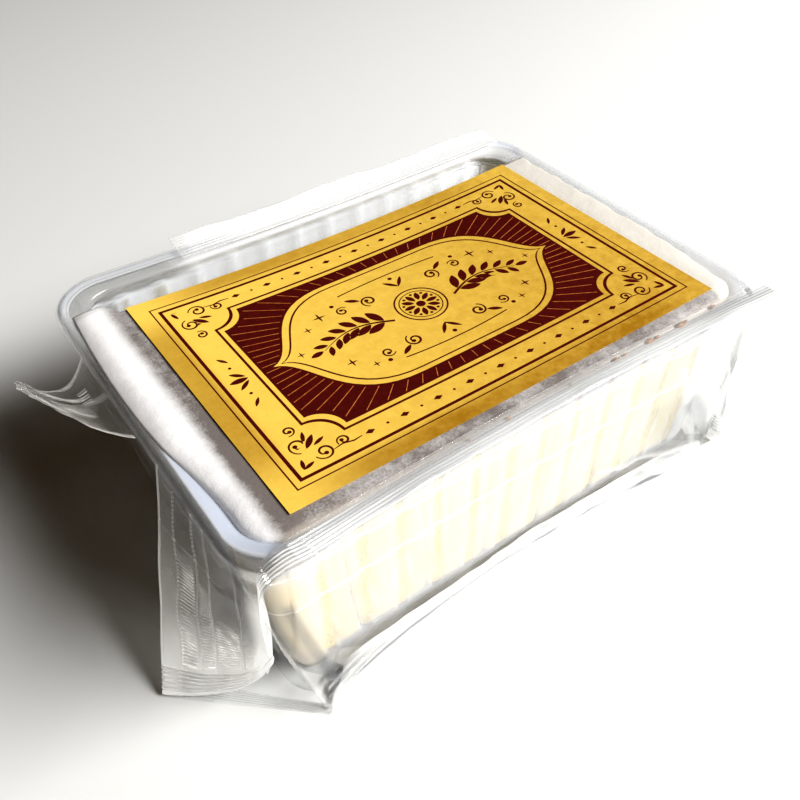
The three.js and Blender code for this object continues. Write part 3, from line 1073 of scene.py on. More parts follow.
def satin_side(u, v):
    """Milkiness of the near-left flap: a painted sheen down its right side and along its hem."""
    strips, beat = knurled(u, v, LEFT_RUN, LEFT_SPAN)
    across = unit((v - 0.62) / 0.22) ** 1.3 * unit((1.02 - v) / 0.04) * unit((u - 0.12) * 5)
    layer = 0.04 * unit((u - 0.235 - 0.10 * v) * 60)
    foot = along(u, [(share,) for share in SATIN_RISE])[:, 0]
    margin = 0.09 * unit((0.13 - v) * 60) * unit((u - 0.3) * 6)
    marks = 0.13 * strips * (1 + beat) + 0.10 * flap_lines(u, v, LEFT_SPAN) * (u < 0.87)
    marks = marks + 0.34 * hem_beat(u, LEFT_RUN)
    return np.clip(0.80 * across + layer + foot + margin + marks, -0.03, 1)


def satin_shadow(u, v):
    return 0.5 * hump(v - 0.64 - 0.12 * u, 0.06) * unit((0.75 - u) * 6)


def milky_tip(u, v):
    """Milkiness of the far-left flap, raised in streaks towards its point as a painted highlight.
    """
    streaks = 0.65 + 0.35 * np.sin(v * 13 + u * 6)
    band = unit((0.50 + 0.6 * unit(u - 0.6) - v) * 9) * unit(v * 14 + 0.2)
    lit = 0.95 * band * streaks * np.clip(u * 1.8 - 0.38, 0.02, 1)
    return 0.01 + lit + 0.2 * hump(v - 0.5, 0.03)


# Painted shade in the streaks between the far-left flap's painted highlights.
def grey_tip(u, v):
    return 0.35 * (0.5 - 0.5 * np.sin(v * 13 + u * 6)) * unit((u - 0.3) * 2)


def right_milky(u, v):
    return 0.06 + 0.30 * hump(v - 0.45 - 0.2 * u, 0.12) + 0.25 * hump(v - 0.85, 0.06)


# Painted shade in a band down the right-hand flaps, along the corner's pleat.
def right_grey(u, v):
    return 0.75 * hump(v - 0.40 - 0.2 * u, 0.14) * unit((u - 0.2) * 4)


def flap_waves(points):
    """Slack that dies out where a flap reaches the floor."""
    return grain(points * (1, 1, 0.22), 7) * 0.7 * unit(points[:, 2] / 6)


class CASTELLA_OT_flaps(bpy.types.Operator):
    """Let the loose film stand out in a flap at each corner"""

    bl_idname = "castella.flaps"
    bl_label = "Flaps"

    def execute(self, context):
        creases = (0.02, 0.16, 0.75)
        loose = film_finish("loose_film", 0.02, creases, metallic=0.05, glow=0.9)
        hanging = film_finish("hanging_film", 0.02, creases, metallic=0.05, glow=0.4)
        resting = film_finish("resting_film", 0.0, (0.04, 0.2, 0.22), metallic=0.0)
        left_ridges = flap_ridges(LEFT_RUN, LEFT_SPAN, 1.0)
        right_ridges = flap_ridges(RIGHT_RUN, RIGHT_SPAN, 0.4)
        for name, finish, steps, place, ridge, milky, grey in (
            ("near_left_flap", hanging, (330, 140), hung(*NEAR_LEFT),
             left_ridges, satin_side, satin_shadow),
            ("near_left_floor_film", resting, (210, 110), hung(*ON_FLOOR),
             floor_ridges, floor_milky, no_share),
            ("far_left_flap", loose, (260, 60), hung(*FAR_LEFT),
             pointed_ridges, milky_tip, grey_tip),
            ("near_foot_fold", resting, (300, 40), near_foot_fold,
             foot_ridges, foot_milky, foot_grey),
            ("near_right_flap", loose, (300, 60), hung(*NEAR_RIGHT),
             right_ridges, right_milky, right_grey),
            ("far_right_flap", loose, (300, 60), across_pack(hung(*NEAR_RIGHT)),
             right_ridges, right_milky, right_grey),
        ):
            bm = surface(*steps, place, ridge, milky=milky, grey=grey)
            emboss(bm, flap_waves, kept=False)
            thicken(bm, 0.3)
            keep_off_floor(bm)
            piece(name, bm, [finish])
        return {"FINISHED"}


# ---- tray ----

# Rings of the tray from the lip's edge over the rim, down the wall and to the middle of the base:
# half length, half width, corner radius, bow, height and how milky the plastic is.
TRAY_RINGS = (
    (92.7, 68.3, 16.2, 3.0, 63.2, 0.02),
    (92.9, 68.5, 16.3, 3.0, 64.8, 0.02),
    (92.5, 68.1, 16.0, 3.0, 66.3, 0.02),
    (91.5, 67.1, 15.5, 3.0, 66.9, 0.02),
    (90.6, 65.6, 15.0, 3.0, 66.8, 0.05),
    (89.7, 63.6, 14.6, 3.0, 66.4, 0.60),
    (88.6, 61.8, 14.0, 3.0, 65.9, 0.66),
    (87.2, 60.9, 13.2, 2.9, 65.2, 0.66),
    (85.9, 60.5, 12.4, 2.7, 64.3, 0.66),
    (85.1, 60.4, 11.8, 2.4, 63.0, 0.55),
    (87.2, 60.3, 9.4, 2.2, 60.6, 0.24),
    (87.3, 60.2, 7.6, 2.0, 55.0, 0.16),
    (86.6, 59.9, 6.4, 1.5, 46.0, 0.13),
    (85.2, 59.6, 5.8, 1.2, 36.0, 0.12),
    (83.4, 59.3, 5.3, 0.9, 25.0, 0.12),
    (81.2, 59.0, 5.0, 0.7, 14.0, 0.12),
    (79.2, 58.7, 5.0, 0.5, 5.0, 0.14),
    (77.2, 57.0, 4.4, 0.5, 1.9, 0.16),
    (72.0, 52.5, 6.0, 0.5, 1.2, 0.15),
    (50.0, 36.0, 4.0, 0.0, 1.2, 0.15),
    (0.0, 0.0, 0.0, 0.0, 1.2, 0.15),
)

# Heights of the two steps that run round the tray's wall, and how far they stand out.
TRAY_STEPS, STEP_DEPTH = (52, 37), 0.3

# Where the tray's long walls begin, measured across, so that their ribs run along.
LONG_WALL = 56


def tray_place(u, v):
    """The tray's sheet: once round as u goes 0 to 1, and from lip to base as v does."""
    ring = along(v, TRAY_RINGS)
    x, y = np.zeros_like(u), np.zeros_like(u)
    for half in np.unique(np.round(ring[:, 0], 5)):
        here = np.abs(ring[:, 0] - half) < 1e-4
        row = ring[here][0]
        half_x, half_y, radius = np.maximum(row[:3], (1e-3, 1e-3, 1e-4))
        x[here], y[here] = outline(u[here], half_x, half_y, radius, row[3])
    return np.stack([x, y, ring[:, 4]], axis=1)


def flute_share(points):
    """For the tray's wall: 1 in the broad flutes that stand out of it, the painted highlight on the
    right edge of each groove between them, and the two steps that run round."""
    x, y, z = points.T
    draft = 1 - 0.03 * (1 - z / 62)
    run = np.where(np.abs(y) > LONG_WALL, x, y)
    turn = 2 * math.pi * run / draft / mm("rib_pitch")
    flute = 0.5 * (1 + np.tanh(4.0 * (np.cos(turn) + 0.55)))
    # Painted highlight on the lit right edge of each groove.
    edge = 2.4 * flute * (1 - flute) * (0.5 - 0.5 * np.tanh(6 * np.sin(turn)))
    steps = unit(sum(hump(z - height, 1.2) for height in TRAY_STEPS))
    upright = unit((z - 5) / 3) * unit((64.5 - z) / 2)
    upright = np.where((np.abs(x) > 80) & (np.abs(y) > 52), 0, upright)
    return flute * upright, edge * upright, steps * upright


def corner_share(points):
    """1 at the tray's upright corners, where the plastic is made milkier."""
    x, y, z = np.abs(points).T
    return unit((x - 70) / 4) * unit((y - 50) / 4) * unit((62 - z) / 4)


def outwards(points):
    """The way out of the nearest wall, as a flat unit vector."""
    x, y = np.sign(points[:, :2]).T
    long_wall = np.abs(points[:, 1]) > LONG_WALL
    return np.stack([np.where(long_wall, 0, x), np.where(long_wall, y, 0)], axis=1)


class CASTELLA_OT_tray(bpy.types.Operator):
    """Form the tray with its rolled rim and fluted walls"""

    bl_idname = "castella.tray"
    bl_label = "Tray"

    def execute(self, context):
        bm = surface(480, 100, tray_place, weld=True, milky=lambda u, v: along(v, TRAY_RINGS)[:, 5])
        bm.normal_update()
        points = points_of(bm)
        flute, milky = bm.verts.layers.float.new("flute"), bm.verts.layers.float["milky"]
        shares = zip(*(share.tolist() for share in (*flute_share(points), corner_share(points))))
        for vert, way, (broad, edge, step, corner) in zip(bm.verts, outwards(points), shares):
            vert.co.xy += Vector(way) * (broad * mm("rib_depth") + step * STEP_DEPTH) * MM
            # The flute attribute keeps the painted highlight on each groove's edge.
            vert[flute] = edge
            vert[milky] += 0.12 * broad + 0.16 * corner
        thicken(bm, 0.4)
        piece("tray", bm, [tray_finish()])
        return {"FINISHED"}


# ---- cake ----

# Height of the castella's base and top, and the share of it that each crust takes.
CAKE_BASE, CAKE_TOP = 1.9, 60.8
CRUST_SHARE = 0.031

# Where the castella is cut across, as shares of its length, and the middle cut of each pair of
# slices, as a share of its width.
CUTS = (-1.0, -0.74, -0.43, -0.14, 0.15, 0.45, 0.73, 1.0)
MIDDLE_CUTS = (0.04, -0.10, 0.08, 0.0, -0.06, 0.10, -0.03)

# Crumbs between the sheet and the near rim: place along the rim and size.
CRUMBS = (
    (-24, 0.5), (-10.5, 0.8), (12, 0.5), (30, 1.1), (33.5, 0.6),
    (44, 1.2), (47, 0.7), (57, 1.2), (59.5, 0.6), (72, 0.8),
)


def in_tray(a, b, c):
    """Place in the tray from shares of its length and width, -1 to 1, and height, 0 to 1."""
    return a * mix(77.4, 86.2, c**0.8), b * mix(56.7, 58.5, c), mix(CAKE_BASE, CAKE_TOP, c)


def rounded(x, y, height):
    """Pulls a point into the tray's rounded corner at a share of its height."""
    radius = 4
    inner_x, inner_y = (reach - radius for reach in in_tray(1, 1, height)[:2])
    away = math.hypot(max(0, abs(x) - inner_x), max(0, abs(y) - inner_y))
    if abs(x) > inner_x and abs(y) > inner_y and away > radius:
        x = math.copysign(inner_x + (abs(x) - inner_x) * radius / away, x)
        y = math.copysign(inner_y + (abs(y) - inner_y) * radius / away, y)
    return x, y


class CASTELLA_OT_cake(bpy.types.Operator):
    """Pack the tray with slices of castella"""

    bl_idname = "castella.cake"
    bl_label = "Castella"

    def execute(self, context):
        crumb, crust = crumb_finish(), crust_finish()
        count = 0
        for i, middle in enumerate(MIDDLE_CUTS):
            for low, high, fall in ((-1.0, middle - 0.008, 0.013 * i), (middle + 0.008, 0.77, 0.0)):
                count += 1
                span = (CUTS[i] - 0.002, CUTS[i + 1] + 0.002, low, high)
                self.slice(count, span, 1 - fall, [crumb, crust])
        self.crumbs(crust)
        return {"FINISHED"}

    def crumbs(self, crust):
        """Bits of crust that have stuck between the sheet and the near rim."""
        rng = np.random.default_rng(5)
        bm = bmesh.new()
        for x, size in CRUMBS:
            lump = bmesh.ops.create_icosphere(bm, subdivisions=2, radius=1)["verts"]
            way = rng.normal(size=3)
            for vert in lump:
                rough = 1.35 + 1.1 * noise.noise(vert.co * 1.9 + Vector(way * 9))
                vert.co.x = (x + vert.co.x * size * rough) * MM
                vert.co.y = (-60.2 + vert.co.y * size * 0.5 * rough) * MM
                vert.co.z = (66.3 + vert.co.z * 0.42 * rough) * MM
        bmesh.ops.recalc_face_normals(bm, faces=bm.faces)
        piece("crumbs", bm, [crust])

    def slice(self, count, span, share, materials):
        """One slice between four cuts, with a crust at its top and its base."""
        a0, a1, b0, b1 = span
        rng = np.random.default_rng(count)
        top = share - rng.uniform(0.0, 0.03)
        low, high = CRUST_SHARE, 1 - CRUST_SHARE
        bm = bmesh.new()
        bmesh.ops.create_cube(bm, size=1)
        for axis, places in (
            (2, (low, high)),
            (0, [k / 9 for k in range(1, 9)]),
            (1, [k / 18 for k in range(1, 18)]),
            (2, [mix(low, high, k / 20) for k in range(1, 20)]),
        ):
            for at in places:
                cut(bm, axis, at - 0.5)
        for face in bm.faces:
            face.material_index = 1 if abs(face.calc_center_median().z) > 0.5 - CRUST_SHARE else 0
        for vert in bm.verts:
            p = np.array(vert.co[:])
            edge = unit((np.abs(p) - 0.40) / 0.10)
            pinch = 0.004 * edge[0] * edge[1] + 0.008 * (edge[1] + edge[0]) * edge[2]
            p = p * (1 - pinch) + 0.5
            x, y, z = in_tray(mix(a0, a1, p[0]), mix(b0, b1, p[1]), p[2] * top)
            x, y = rounded(x, y, p[2])
            vert.co = (x * MM, y * MM, z * MM)
        bmesh.ops.recalc_face_normals(bm, faces=bm.faces)
        emboss(bm, lambda points: (
            grain(points, 9, count * 3) * 0.6 + grain(points, 3.5, count) * 0.3 - 0.15
        ))
        made = piece(f"castella_{count:02d}", bm, materials)
        finer = made.modifiers.new("Subdivision", "SUBSURF")
        finer.levels = finer.render_levels = 1


# ---- cover sheet ----

# Where the cover sheet's left end lies, from the near side to the far side.
SHEET_LEFT = (-85.8, -86.6, -90.2, -91.4, -91.0, -89.6)


def sheet_place(u, v):
    """The paper over the cake: its ends bulge up and its near side rolls down."""
    left, right, near, margin = along(v, [(x,) for x in SHEET_LEFT])[:, 0], 87.6, -61.0, 12
    far = mix(51.0, 45.0, unit((u - 0.055) / 0.02))
    x, y = mix(left, right, u), mix(near, far, v)
    over_x = np.clip(np.maximum(left + margin - x, x - (right - margin)), 0, None)
    over_y = np.clip(near + margin - y, 0, None)
    away = np.hypot(over_x, over_y) + 1e-9
    pull = np.where((over_x > 0) & (over_y > 0), np.maximum(over_x, over_y) / away, 1)
    x = x + np.where(x < 0, 1, -1) * over_x * (1 - pull)
    y = y + over_y * (1 - pull)
    roll = unit(1 - (margin - np.hypot(over_x, over_y) * pull) / 6.0)
    drop = 3.0 * (1 - np.sqrt(unit(1 - roll**2)))
    climb = np.where(x < 0, unit((v - 0.20) / 0.2), unit((v - 0.1) / 0.2)) * drop * 0.94
    sagged = unit((y - 47) / 3)
    sag = 0.6 * sagged**2 + 0.4 * np.sin(x / 4.0) * sagged
    z = film_top(x, y) - 0.12 - drop + climb - sag
    ragged = np.where(x > 80, 0.3 * np.sin(y / 3.3) + 0.2 * np.sin(y / 1.4 + 2), 0)
    return np.stack([x + ragged * unit((x - 80) / 7), y, z], axis=1)


class CASTELLA_OT_sheet(bpy.types.Operator):
    """Lay the pale paper over the cake"""

    bl_idname = "castella.sheet"
    bl_label = "Cover sheet"

    def execute(self, context):
        bm = surface(240, 150, sheet_place)
        emboss(bm, lambda points: grain(points, 24, 2) * 0.3 + grain(points, 7, 7) * 0.12 - 0.2)
        thicken(bm, 0.25)
        piece("cover_sheet", bm, [sheet_finish()])
        return {"FINISHED"}


# ---- label ----


def label_height(x, y):
    """Height of the label's underside."""
    return film_top(x, y) + LABEL_LIFT


def label_place(u, v):
    """The label's underside."""
    x = LABEL_CENTRE[0] + (u - 0.5) * mm("label_length")
    y = LABEL_CENTRE[1] + (v - 0.5) * mm("label_width")
    return np.stack([x, y, label_height(x, y)], axis=1)


class CASTELLA_OT_label(bpy.types.Operator):
    """Stick the gold paper label on the film"""

    bl_idname = "castella.label"
    bl_label = "Label"

    def execute(self, context):
        bm = surface(120, 80, label_place)
        bmesh.ops.reverse_faces(bm, faces=[f for f in bm.faces if f.normal.z < 0])
        top = bmesh.ops.extrude_face_region(bm, geom=bm.faces[:])
        for vert in (g for g in top["geom"] if isinstance(g, bmesh.types.BMVert)):
            vert.co.z += LABEL_THICK * MM
        bmesh.ops.recalc_face_normals(bm, faces=bm.faces)
        label = piece("label_sheet", bm, [gold_finish()], smooth=False)
        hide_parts("label")
        return {"FINISHED"}


# ---- print on the label, drawn flat in millimetres from the label's centre ----


def stroke(points, width):
    """Outline of a line through points; width is one number or one for each point."""
    points = np.asarray(points, float)
    ahead = np.gradient(points, axis=0)
    ahead /= np.linalg.norm(ahead, axis=1)[:, None] + 1e-9
    widths = np.reshape(np.broadcast_to(width, len(points)), (-1, 1))
    side = np.stack([-ahead[:, 1], ahead[:, 0]], axis=1) * widths / 2
    return np.vstack([points + side, (points - side)[::-1]])


def mirrored(loops, over_x=True, over_y=True):
    """The loops and their mirror images."""
    found = []
    for sx in (1, -1) if over_x else (1,):
        for sy in (1, -1) if over_y else (1,):
            found += [np.asarray(loop) * (sx, sy) for loop in loops]
    return found


def moved(loops, x, y, turn=0.0):
    """The loops, turned and then moved."""
    c, s = math.cos(turn), math.sin(turn)
    return [np.asarray(loop) @ np.array([[c, s], [-s, c]]) + (x, y) for loop in loops]


def polar(reach, angle, x=0.0, y=0.0):
    """Points at a distance and an angle from (x, y)."""
    return np.stack([x + reach * np.cos(angle), y + reach * np.sin(angle)], axis=1)


def ticket(half_x, half_y, notch):
    """Rectangle with a round bite out of each corner, or with plain corners if notch is 0."""
    loop = []
    for quarter, (sx, sy) in enumerate(((1, 1), (-1, 1), (-1, -1), (1, -1))):
        for k in range(13) if notch else (0,):
            angle = (3 + quarter) * math.pi / 2 - k / 12 * math.pi / 2
            x, y = notch * math.cos(angle), notch * math.sin(angle)
            loop.append((sx * half_x + x, sy * half_y + y))
    return np.array(loop)


def rule(half_x, half_y, notch, width):
    """Outer and inner outline of a frame of the given width."""
    return [ticket(half_x, half_y, notch), ticket(half_x - width, half_y - width, notch)]


def ogee(half_x, half_y, steps=18):
    """Long panel with a point at either end and swelling sides."""
    t = np.linspace(0, 1, steps)[:, None]
    corners = ((1, 0), (0.80, 0.10), (0.86, 1.0), (0.36, 1.0))
    a, b, c, d = (np.array(corner, float) * (half_x, half_y) for corner in corners)
    quarter = a * (1 - t) ** 3 + 3 * b * t * (1 - t) ** 2 + 3 * c * t**2 * (1 - t) + d * t**3
    upper = np.vstack([quarter, quarter[::-1] * (-1, 1)])
    return np.vstack([upper, (upper[::-1] * (1, -1))[1:-1]])


def disc(radius, x=0.0, y=0.0, sides=14):
    return polar(radius, np.arange(sides) / sides * 2 * math.pi, x, y)


def sparkle(radius, x, y):
    """Star with four points."""
    reach = radius * np.array([1, 0.36, 0.17, 0.36] * 4)
    return polar(reach, np.arange(16) / 16 * 2 * math.pi, x, y)


def scroll(radius, turns, width, hand, start, x, y):
    """Line that curls inwards from (x, y), and the bead at its end."""
    t = np.linspace(0, 1, 44)
    curl = polar(radius * (1 - 0.72 * t**0.9), start + hand * turns * 2 * math.pi * t)
    curl -= curl[0]
    line = stroke(curl, width * (0.55 + 0.6 * np.sin(math.pi * t)))
    return moved([line], x, y), moved([disc(width * 1.15, *curl[-1])], x, y)


def leaf(x0, y0, x1, y1, width):
    t = np.linspace(0, 1, 9)[:, None]
    line = (1 - t) * (x0, y0) + t * (x1, y1)
    return stroke(line, width * np.sin(math.pi * (t[:, 0] * 0.97 + 0.015)) ** 0.8)


def spray(length, leaves, size):
    """Bent twig along +x with pairs of leaves that shrink towards its tip."""
    bend = 0.16
    t = np.linspace(0, 1, 20)
    twig = np.stack([length * t, bend * length * np.sin(t * math.pi)], axis=1)
    loops = [stroke(twig, 0.75 * (1.15 - t))]
    for k in range(leaves):
        u = (k + 0.6) / leaves * 0.95
        x, y = length * u, bend * length * math.sin(u * math.pi)
        slope = math.atan(bend * math.pi * math.cos(u * math.pi))
        for hand in (1, -1):
            angle, reach = slope + hand * 0.72, size * (1.1 - 0.5 * u)
            x0, y0 = x + 0.9 * math.cos(angle), y + 0.9 * math.sin(angle)
            x1, y1 = x0 + reach * math.cos(angle), y0 + reach * math.sin(angle)
            loops.append(leaf(x0, y0, x1, y1, reach * 0.42))
    loops.append(leaf(length + 0.6, 0, length + size * 0.75, -0.1 * size, size * 0.3))
    return loops


def border():
    """Small discs and diamonds along the long margins, with a flourish at either end."""
    level, found = 37.9, []
    for k in range(-8, 9):
        x = k * 5.6
        diamond = [(x - 1.5, level), (x, level + 0.85), (x + 1.5, level), (x, level - 0.85)]
        found.append(disc(0.42, x, level, 8) if k % 2 else np.array(diamond))
    for side in (1, -1):
        flourish = [(side * x, y) for x, y in ((47.4, level), (50, 38.2), (53, 37.4), (56, level))]
        found.append(stroke(flourish, [0.25, 0.5, 0.5, 0.2]))
    return mirrored(found, over_x=False)


# Scrolls in a quarter of the frame and beside the rosette: radius, turns, width, hand, first
# angle, and where they start.
FRAME_SCROLLS = (
    (2.9, 1.25, 0.55, 1, 0.2, 61.2, 37.6),
    (2.9, 1.25, 0.55, -1, 1.37, 63.6, 34.4),
    (2.0, 1.15, 0.5, -1, 0.4, 54.0, 37.2),
    (2.0, 1.15, 0.5, 1, 1.2, 63.2, 27.2),
)
PANEL_SCROLLS = (
    (2.8, 1.3, 0.6, 1, -1.2, 13.2, 8.4),
    (2.8, 1.3, 0.6, -1, 1.2, 13.2, -10.6),
    (2.2, 1.2, 0.5, -1, 2.6, 20.0, 12.4),
    (2.2, 1.2, 0.5, 1, -2.6, 20.0, -14.6),
)

# Leaves in a quarter of the frame, from stalk to tip, and their width.
FRAME_LEAVES = (
    (65.9, 39.7, 62.4, 38.6, 1.1),
    (65.9, 39.7, 64.9, 36.3, 1.1),
    (61.6, 33.6, 57.9, 29.9, 1.7),
    (61.2, 31.4, 59.6, 27.6, 1.1),
    (59.4, 33.6, 55.8, 32.2, 1.1),
)


def frame_ornament(scrolls):
    """Scrolls and leaves in the frame's corners, and a spray of leaves at either end."""
    corner = [line for lines, beads in scrolls for line in lines]
    corner += [leaf(*row) for row in FRAME_LEAVES]
    outer_leaf = leaf(62.2, 9.0, 64.4, 12.0, 1.0)
    beside = [leaf(60.9, 1.0, 64.6, 3.9, 1.3), disc(0.5, 63.0, 6.4, 9), outer_leaf]
    ends = [leaf(60.6, 0, 66.2, 0, 2.0)] + mirrored(beside, over_x=False)
    return mirrored(corner) + mirrored(ends, over_y=False)


def panel_ornament(curls):
    """A rosette between two leafy twigs, with scrolls, stars and an arc above and below."""
    rings = ((8.6, 48), (8.1, 48), (1.5, 14), (7.0, 40), (6.7, 40))
    rosette = [disc(radius, sides=sides) for radius, sides in rings]
    for k in range(10):
        angle = k / 10 * 2 * math.pi
        c, s = math.cos(angle), math.sin(angle)
        rosette.append(leaf(2.2 * c, 2.2 * s, 6.1 * c, 6.1 * s, 1.75))
        rosette.append(disc(0.5, 5.6 * math.cos(angle + 0.314), 5.6 * math.sin(angle + 0.314), 8))
    twigs = moved(spray(25, 6, 6.6), 11.5, -2.2)
    twigs += [line for lines, beads in curls for line in lines]
    twigs += [leaf(14.6, 12.6, 18.6, 15.4, 1.5), leaf(14.6, -14.6, 18.6, -17.2, 1.5)]
    twigs += [disc(0.7, 23.4, 15.2), disc(0.7, 23.4, -16.8)]
    twigs += [sparkle(*row) for row in (
        (2.3, 29.5, 12.6), (1.5, 35.6, 9.0), (1.9, 33.0, -11.4), (1.4, 27.6, -16.0), (1.4, 43.2, 0),
    )]
    arc = stroke([(x, 19.6 - (x / 21) ** 2 * 1.2) for x in np.linspace(-19, 19, 16)], 0.45)
    arcs = [arc, leaf(-3.4, 16.2, 0, 12.0, 1.2), leaf(3.4, 16.2, 0, 12.0, 1.2), disc(0.7, 0, 17.0)]
    return rosette + mirrored(twigs, over_y=False) + mirrored(arcs, over_x=False)


def crossing(loop, way):
    """How many times way reaches from the middle to the loop."""
    for a, b in zip(loop, np.roll(loop, -1, axis=0)):
        side = b - a
        low = way[0] * side[1] - way[1] * side[0]
        if abs(low) < 1e-9:
            continue
        along_way = (a[0] * side[1] - a[1] * side[0]) / low
        along_side = (a[0] * way[1] - a[1] * way[0]) / low
        if along_way > 0 and -1e-6 <= along_side <= 1 + 1e-6:
            return along_way
    return 0.0


def ray_lines():
    """Hairlines that run out from the panel to the frame."""
    rays, panel, edge = [], ogee(53.4, 27.4), ticket(55.4, 30.6, 8.6)
    for k in range(72):
        angle = (k + 0.5) / 72 * 2 * math.pi
        way = np.array([math.cos(angle) * 1.75, math.sin(angle)])
        near, far = crossing(panel, way), crossing(edge, way)
        if far - near > 0.6:
            rays.append(stroke([way * near, way * (near + far) / 2, way * far], 0.22))
    return rays


def print_layers():
    """Closed outlines in groups, each a hair above the one before it, and the ink of each: 0 for
    the dark ink and 1 for hairlines."""
    rules = [ticket(x, y, 0) for x, y in ((70.9, 44.8), (70.5, 44.4), (68.8, 42.7), (67.8, 41.7))]
    rules += rule(58.4, 33.6, 8.2, 0.75)
    plaque = [ticket(56.2, 31.4, 8.2), ogee(52.5, 26.5)]
    lining = [ogee(50.0, 24.9), ogee(49.4, 24.4)]
    scrolls = [scroll(*row) for row in FRAME_SCROLLS]
    curls = [scroll(*row) for row in PANEL_SCROLLS]
    beads = mirrored([bead for lines, found in scrolls for bead in found])
    beads += mirrored([bead for lines, found in curls for bead in found], over_y=False)
    return [
        (0, rules + plaque + border()),
        (0, lining + frame_ornament(scrolls)),
        (0, panel_ornament(curls)),
        (0, beads),
        (1, ray_lines()),
    ]


class CASTELLA_OT_print(bpy.types.Operator):
    """Print frames, leaves and scrolls on the label"""

    bl_idname = "castella.print"
    bl_label = "Label print"

    def execute(self, context):
        whole = bmesh.new()
        for level, (shade, loops) in enumerate(print_layers()):
            flat = self.filled(loops)
            for axis, pitch, reach in ((0, 6.0, 76), (1, 3.0, 50)):
                for k in range(int(-reach / pitch), int(reach / pitch) + 1):
                    cut(flat, axis, k * pitch)
            for face in flat.faces:
                face.normal_update()
            bmesh.ops.reverse_faces(flat, faces=[f for f in flat.faces if f.normal.z < 0])
            top = bmesh.ops.extrude_face_region(flat, geom=flat.faces[:])
            raised = {g for g in top["geom"] if isinstance(g, bmesh.types.BMVert)}
            for face in flat.faces:
                face.material_index = shade
            for vert in flat.verts:
                x, y = vert.co.x + LABEL_CENTRE[0], vert.co.y + LABEL_CENTRE[1]
                lift = INK_LIFT + (INK_THICK if vert in raised else 0) + INK_STEP * level
                vert.co = (x * MM, y * MM, (label_height(x, y) + lift) * MM)
            bmesh.ops.recalc_face_normals(flat, faces=flat.faces)
            step = bpy.data.meshes.new("step")
            flat.to_mesh(step)
            flat.free()
            whole.from_mesh(step)
            bpy.data.meshes.remove(step)
        piece("label_print", whole, [ink_finish(), hairline_finish()], smooth=False)
        return {"FINISHED"}

    def filled(self, loops):
        """Flat faces between closed outlines, where a loop inside another leaves a hole."""
        curve = bpy.data.curves.new("outlines", "CURVE")
        curve.dimensions, curve.fill_mode = "2D", "BOTH"
        for loop in loops:
            spline = curve.splines.new("POLY")
            spline.points.add(len(loop) - 1)
            for point, (x, y) in zip(spline.points, loop):
                point.co = (x, y, 0, 1)
            spline.use_cyclic_u = True
        holder = bpy.data.objects.new("outlines", curve)
        mesh = bpy.data.meshes.new_from_object(holder)
        bm = bmesh.new()
        bm.from_mesh(mesh)
        bmesh.ops.remove_doubles(bm, verts=bm.verts, dist=1e-4)
        bpy.data.objects.remove(holder)
        bpy.data.curves.remove(curve)
        bpy.data.meshes.remove(mesh)
        return bm


# ---- stage ----

# The floor's radius, and that of the bend where it turns up into the wall, in metres.
FLOOR_RADIUS, BEND_RADIUS = 3, 2

# Lights: place, target, size, power and colour, and the pieces that it reaches, or none for all.
CARD = ((-0.85, -0.20, 0.06), (-0.1, -0.03, 0.03), (0.6, 0.1))
CARD_COLOUR = (1.0, 0.96, 0.90)
LIGHTS = {
    "key_window": ((0.91, -0.98, 1.12), (0, 0, 0.03), (1.35, 0.45), 60, (1.0, 0.995, 0.98), ()),
    "near_card": (*CARD, 2.4, CARD_COLOUR, ("near_left_flap",)),
    "far_card": (*CARD, 5.2, CARD_COLOUR, ("far_left_flap", "near_seal_tail")),
}
ROOM_COLOUR, ROOM_STRENGTH = (0.85, 0.43, 0.10, 1), 0.022

# The camera's place, the ways to its right, up and back, its lens and its sensor's width.
CAMERA_PLACE = (-0.12606, -0.17306, 0.22504)
CAMERA_WAYS = (0.8121, -0.5834, -0.0062), (0.4064, 0.5579, 0.7236), (-0.4187, -0.5902, 0.6902)
CAMERA_LENS, SENSOR_WIDTH = 37.96, 36


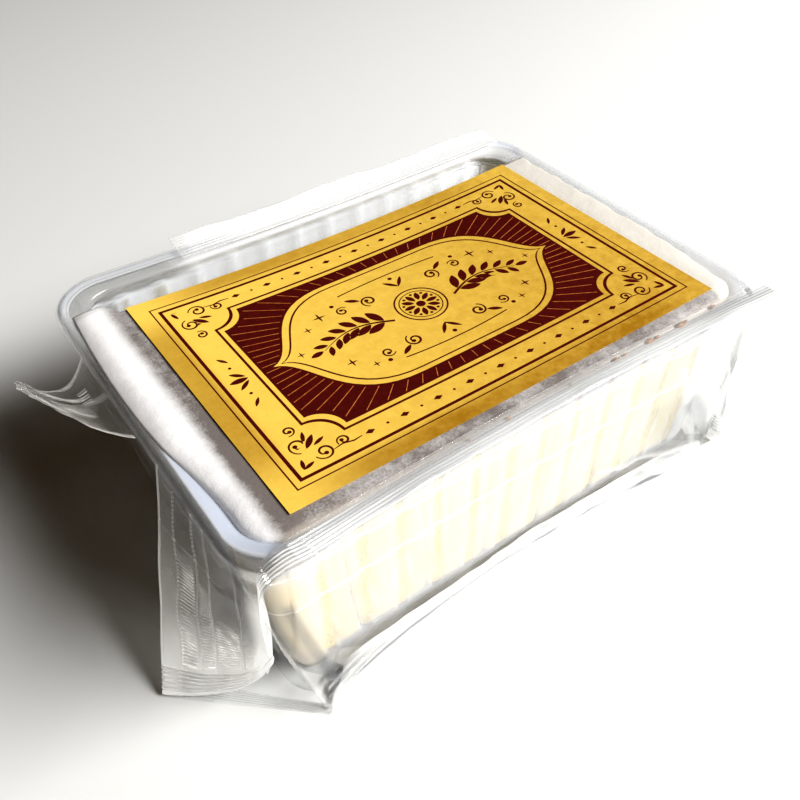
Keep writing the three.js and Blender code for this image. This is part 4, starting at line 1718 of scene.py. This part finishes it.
class CASTELLA_OT_stage(bpy.types.Operator):
    """Set the floor, the lights and the camera"""

    bl_idname = "castella.stage"
    bl_label = "Stage"

    def execute(self, context):
        scene = context.scene
        make_object("studio_floor", self.bowl(), [floor_finish()])
        for name, settings in LIGHTS.items():
            self.light(name, *settings)

        scene.world = bpy.data.worlds.new("studio")
        scene.world.use_nodes = True
        room = scene.world.node_tree.nodes["Background"].inputs
        room["Color"].default_value, room["Strength"].default_value = ROOM_COLOUR, ROOM_STRENGTH

        camera = bpy.data.objects.new("camera", bpy.data.cameras.new("camera"))
        camera.data.lens, camera.data.sensor_width = CAMERA_LENS, SENSOR_WIDTH
        camera.data.clip_start, camera.data.clip_end = 0.01, 50
        turn = Matrix(CAMERA_WAYS).transposed().to_4x4()
        camera.matrix_world = Matrix.Translation(CAMERA_PLACE) @ turn
        scene.collection.objects.link(camera)
        scene.camera = camera
        scene.view_settings.view_transform = "Standard"
        scene.view_settings.look = "Medium High Contrast"
        return {"FINISHED"}

    def bowl(self):
        """Round floor whose edge bends up into a wall."""
        bm = bmesh.new()
        bmesh.ops.create_circle(bm, cap_ends=True, segments=96, radius=FLOOR_RADIUS)
        edge, steps = [e for e in bm.edges if e.is_boundary], 12
        for step in range(1, steps + 1):
            angle = step / steps * math.pi / 2
            grown = bmesh.ops.extrude_edge_only(bm, edges=edge)["geom"]
            edge = [g for g in grown if isinstance(g, bmesh.types.BMEdge)]
            for vert in (g for g in grown if isinstance(g, bmesh.types.BMVert)):
                reach = FLOOR_RADIUS + BEND_RADIUS * math.sin(angle)
                vert.co.xy = vert.co.xy.normalized() * reach
                vert.co.z = BEND_RADIUS * (1 - math.cos(angle))
        bmesh.ops.recalc_face_normals(bm, faces=bm.faces)
        return bm

    def light(self, name, place, target, size, power, shade, reached):
        """Soft rectangular light that points at target."""
        data = bpy.data.lights.new(name, "AREA")
        data.shape, data.energy, data.color = "RECTANGLE", power, shade
        data.size, data.size_y = size
        lamp = bpy.data.objects.new(name, data)
        lamp.location = place
        back = np.array(place) - np.array(target)
        back = back / np.linalg.norm(back)
        lamp.rotation_euler = Vector(back).to_track_quat("Z", "Y").to_euler()
        bpy.context.scene.collection.objects.link(lamp)
        if reached:
            lit = bpy.data.collections.new("lit_by_" + name)
            for found in reached:
                lit.objects.link(bpy.data.objects[found])
            lamp.light_linking.receiver_collection = lit


STEPS = (
    CASTELLA_OT_film,
    CASTELLA_OT_seals,
    CASTELLA_OT_flaps,
    CASTELLA_OT_tray,
    CASTELLA_OT_cake,
    CASTELLA_OT_sheet,
    CASTELLA_OT_label,
    CASTELLA_OT_print,
    CASTELLA_OT_stage,
)


class CASTELLA_PT_panel(bpy.types.Panel):
    """Lists the pack's pieces and settings"""

    bl_idname = "CASTELLA_PT_panel"
    bl_label = "Packed castella"
    bl_space_type = "VIEW_3D"
    bl_region_type = "UI"
    bl_category = "Castella"

    def draw(self, context):
        for step in STEPS:
            self.layout.operator(step.bl_idname)
        for group in (context.scene.pack_sizes, context.scene.pack_colours):
            column = self.layout.column(align=True)
            for name in group.__annotations__:
                column.prop(group, name)


CLASSES = (PackSizes, PackColours, *STEPS, CASTELLA_PT_panel)


def register():
    for each in CLASSES:
        bpy.utils.register_class(each)
    bpy.types.Scene.pack_sizes = bpy.props.PointerProperty(type=PackSizes)
    bpy.types.Scene.pack_colours = bpy.props.PointerProperty(type=PackColours)


def unregister():
    del bpy.types.Scene.pack_colours
    del bpy.types.Scene.pack_sizes
    for each in reversed(CLASSES):
        bpy.utils.unregister_class(each)


def main():
    register()
    for step in STEPS:
        group, name = step.bl_idname.split(".")
        getattr(getattr(bpy.ops, group), name)()


if __name__ == "__main__":
    main()
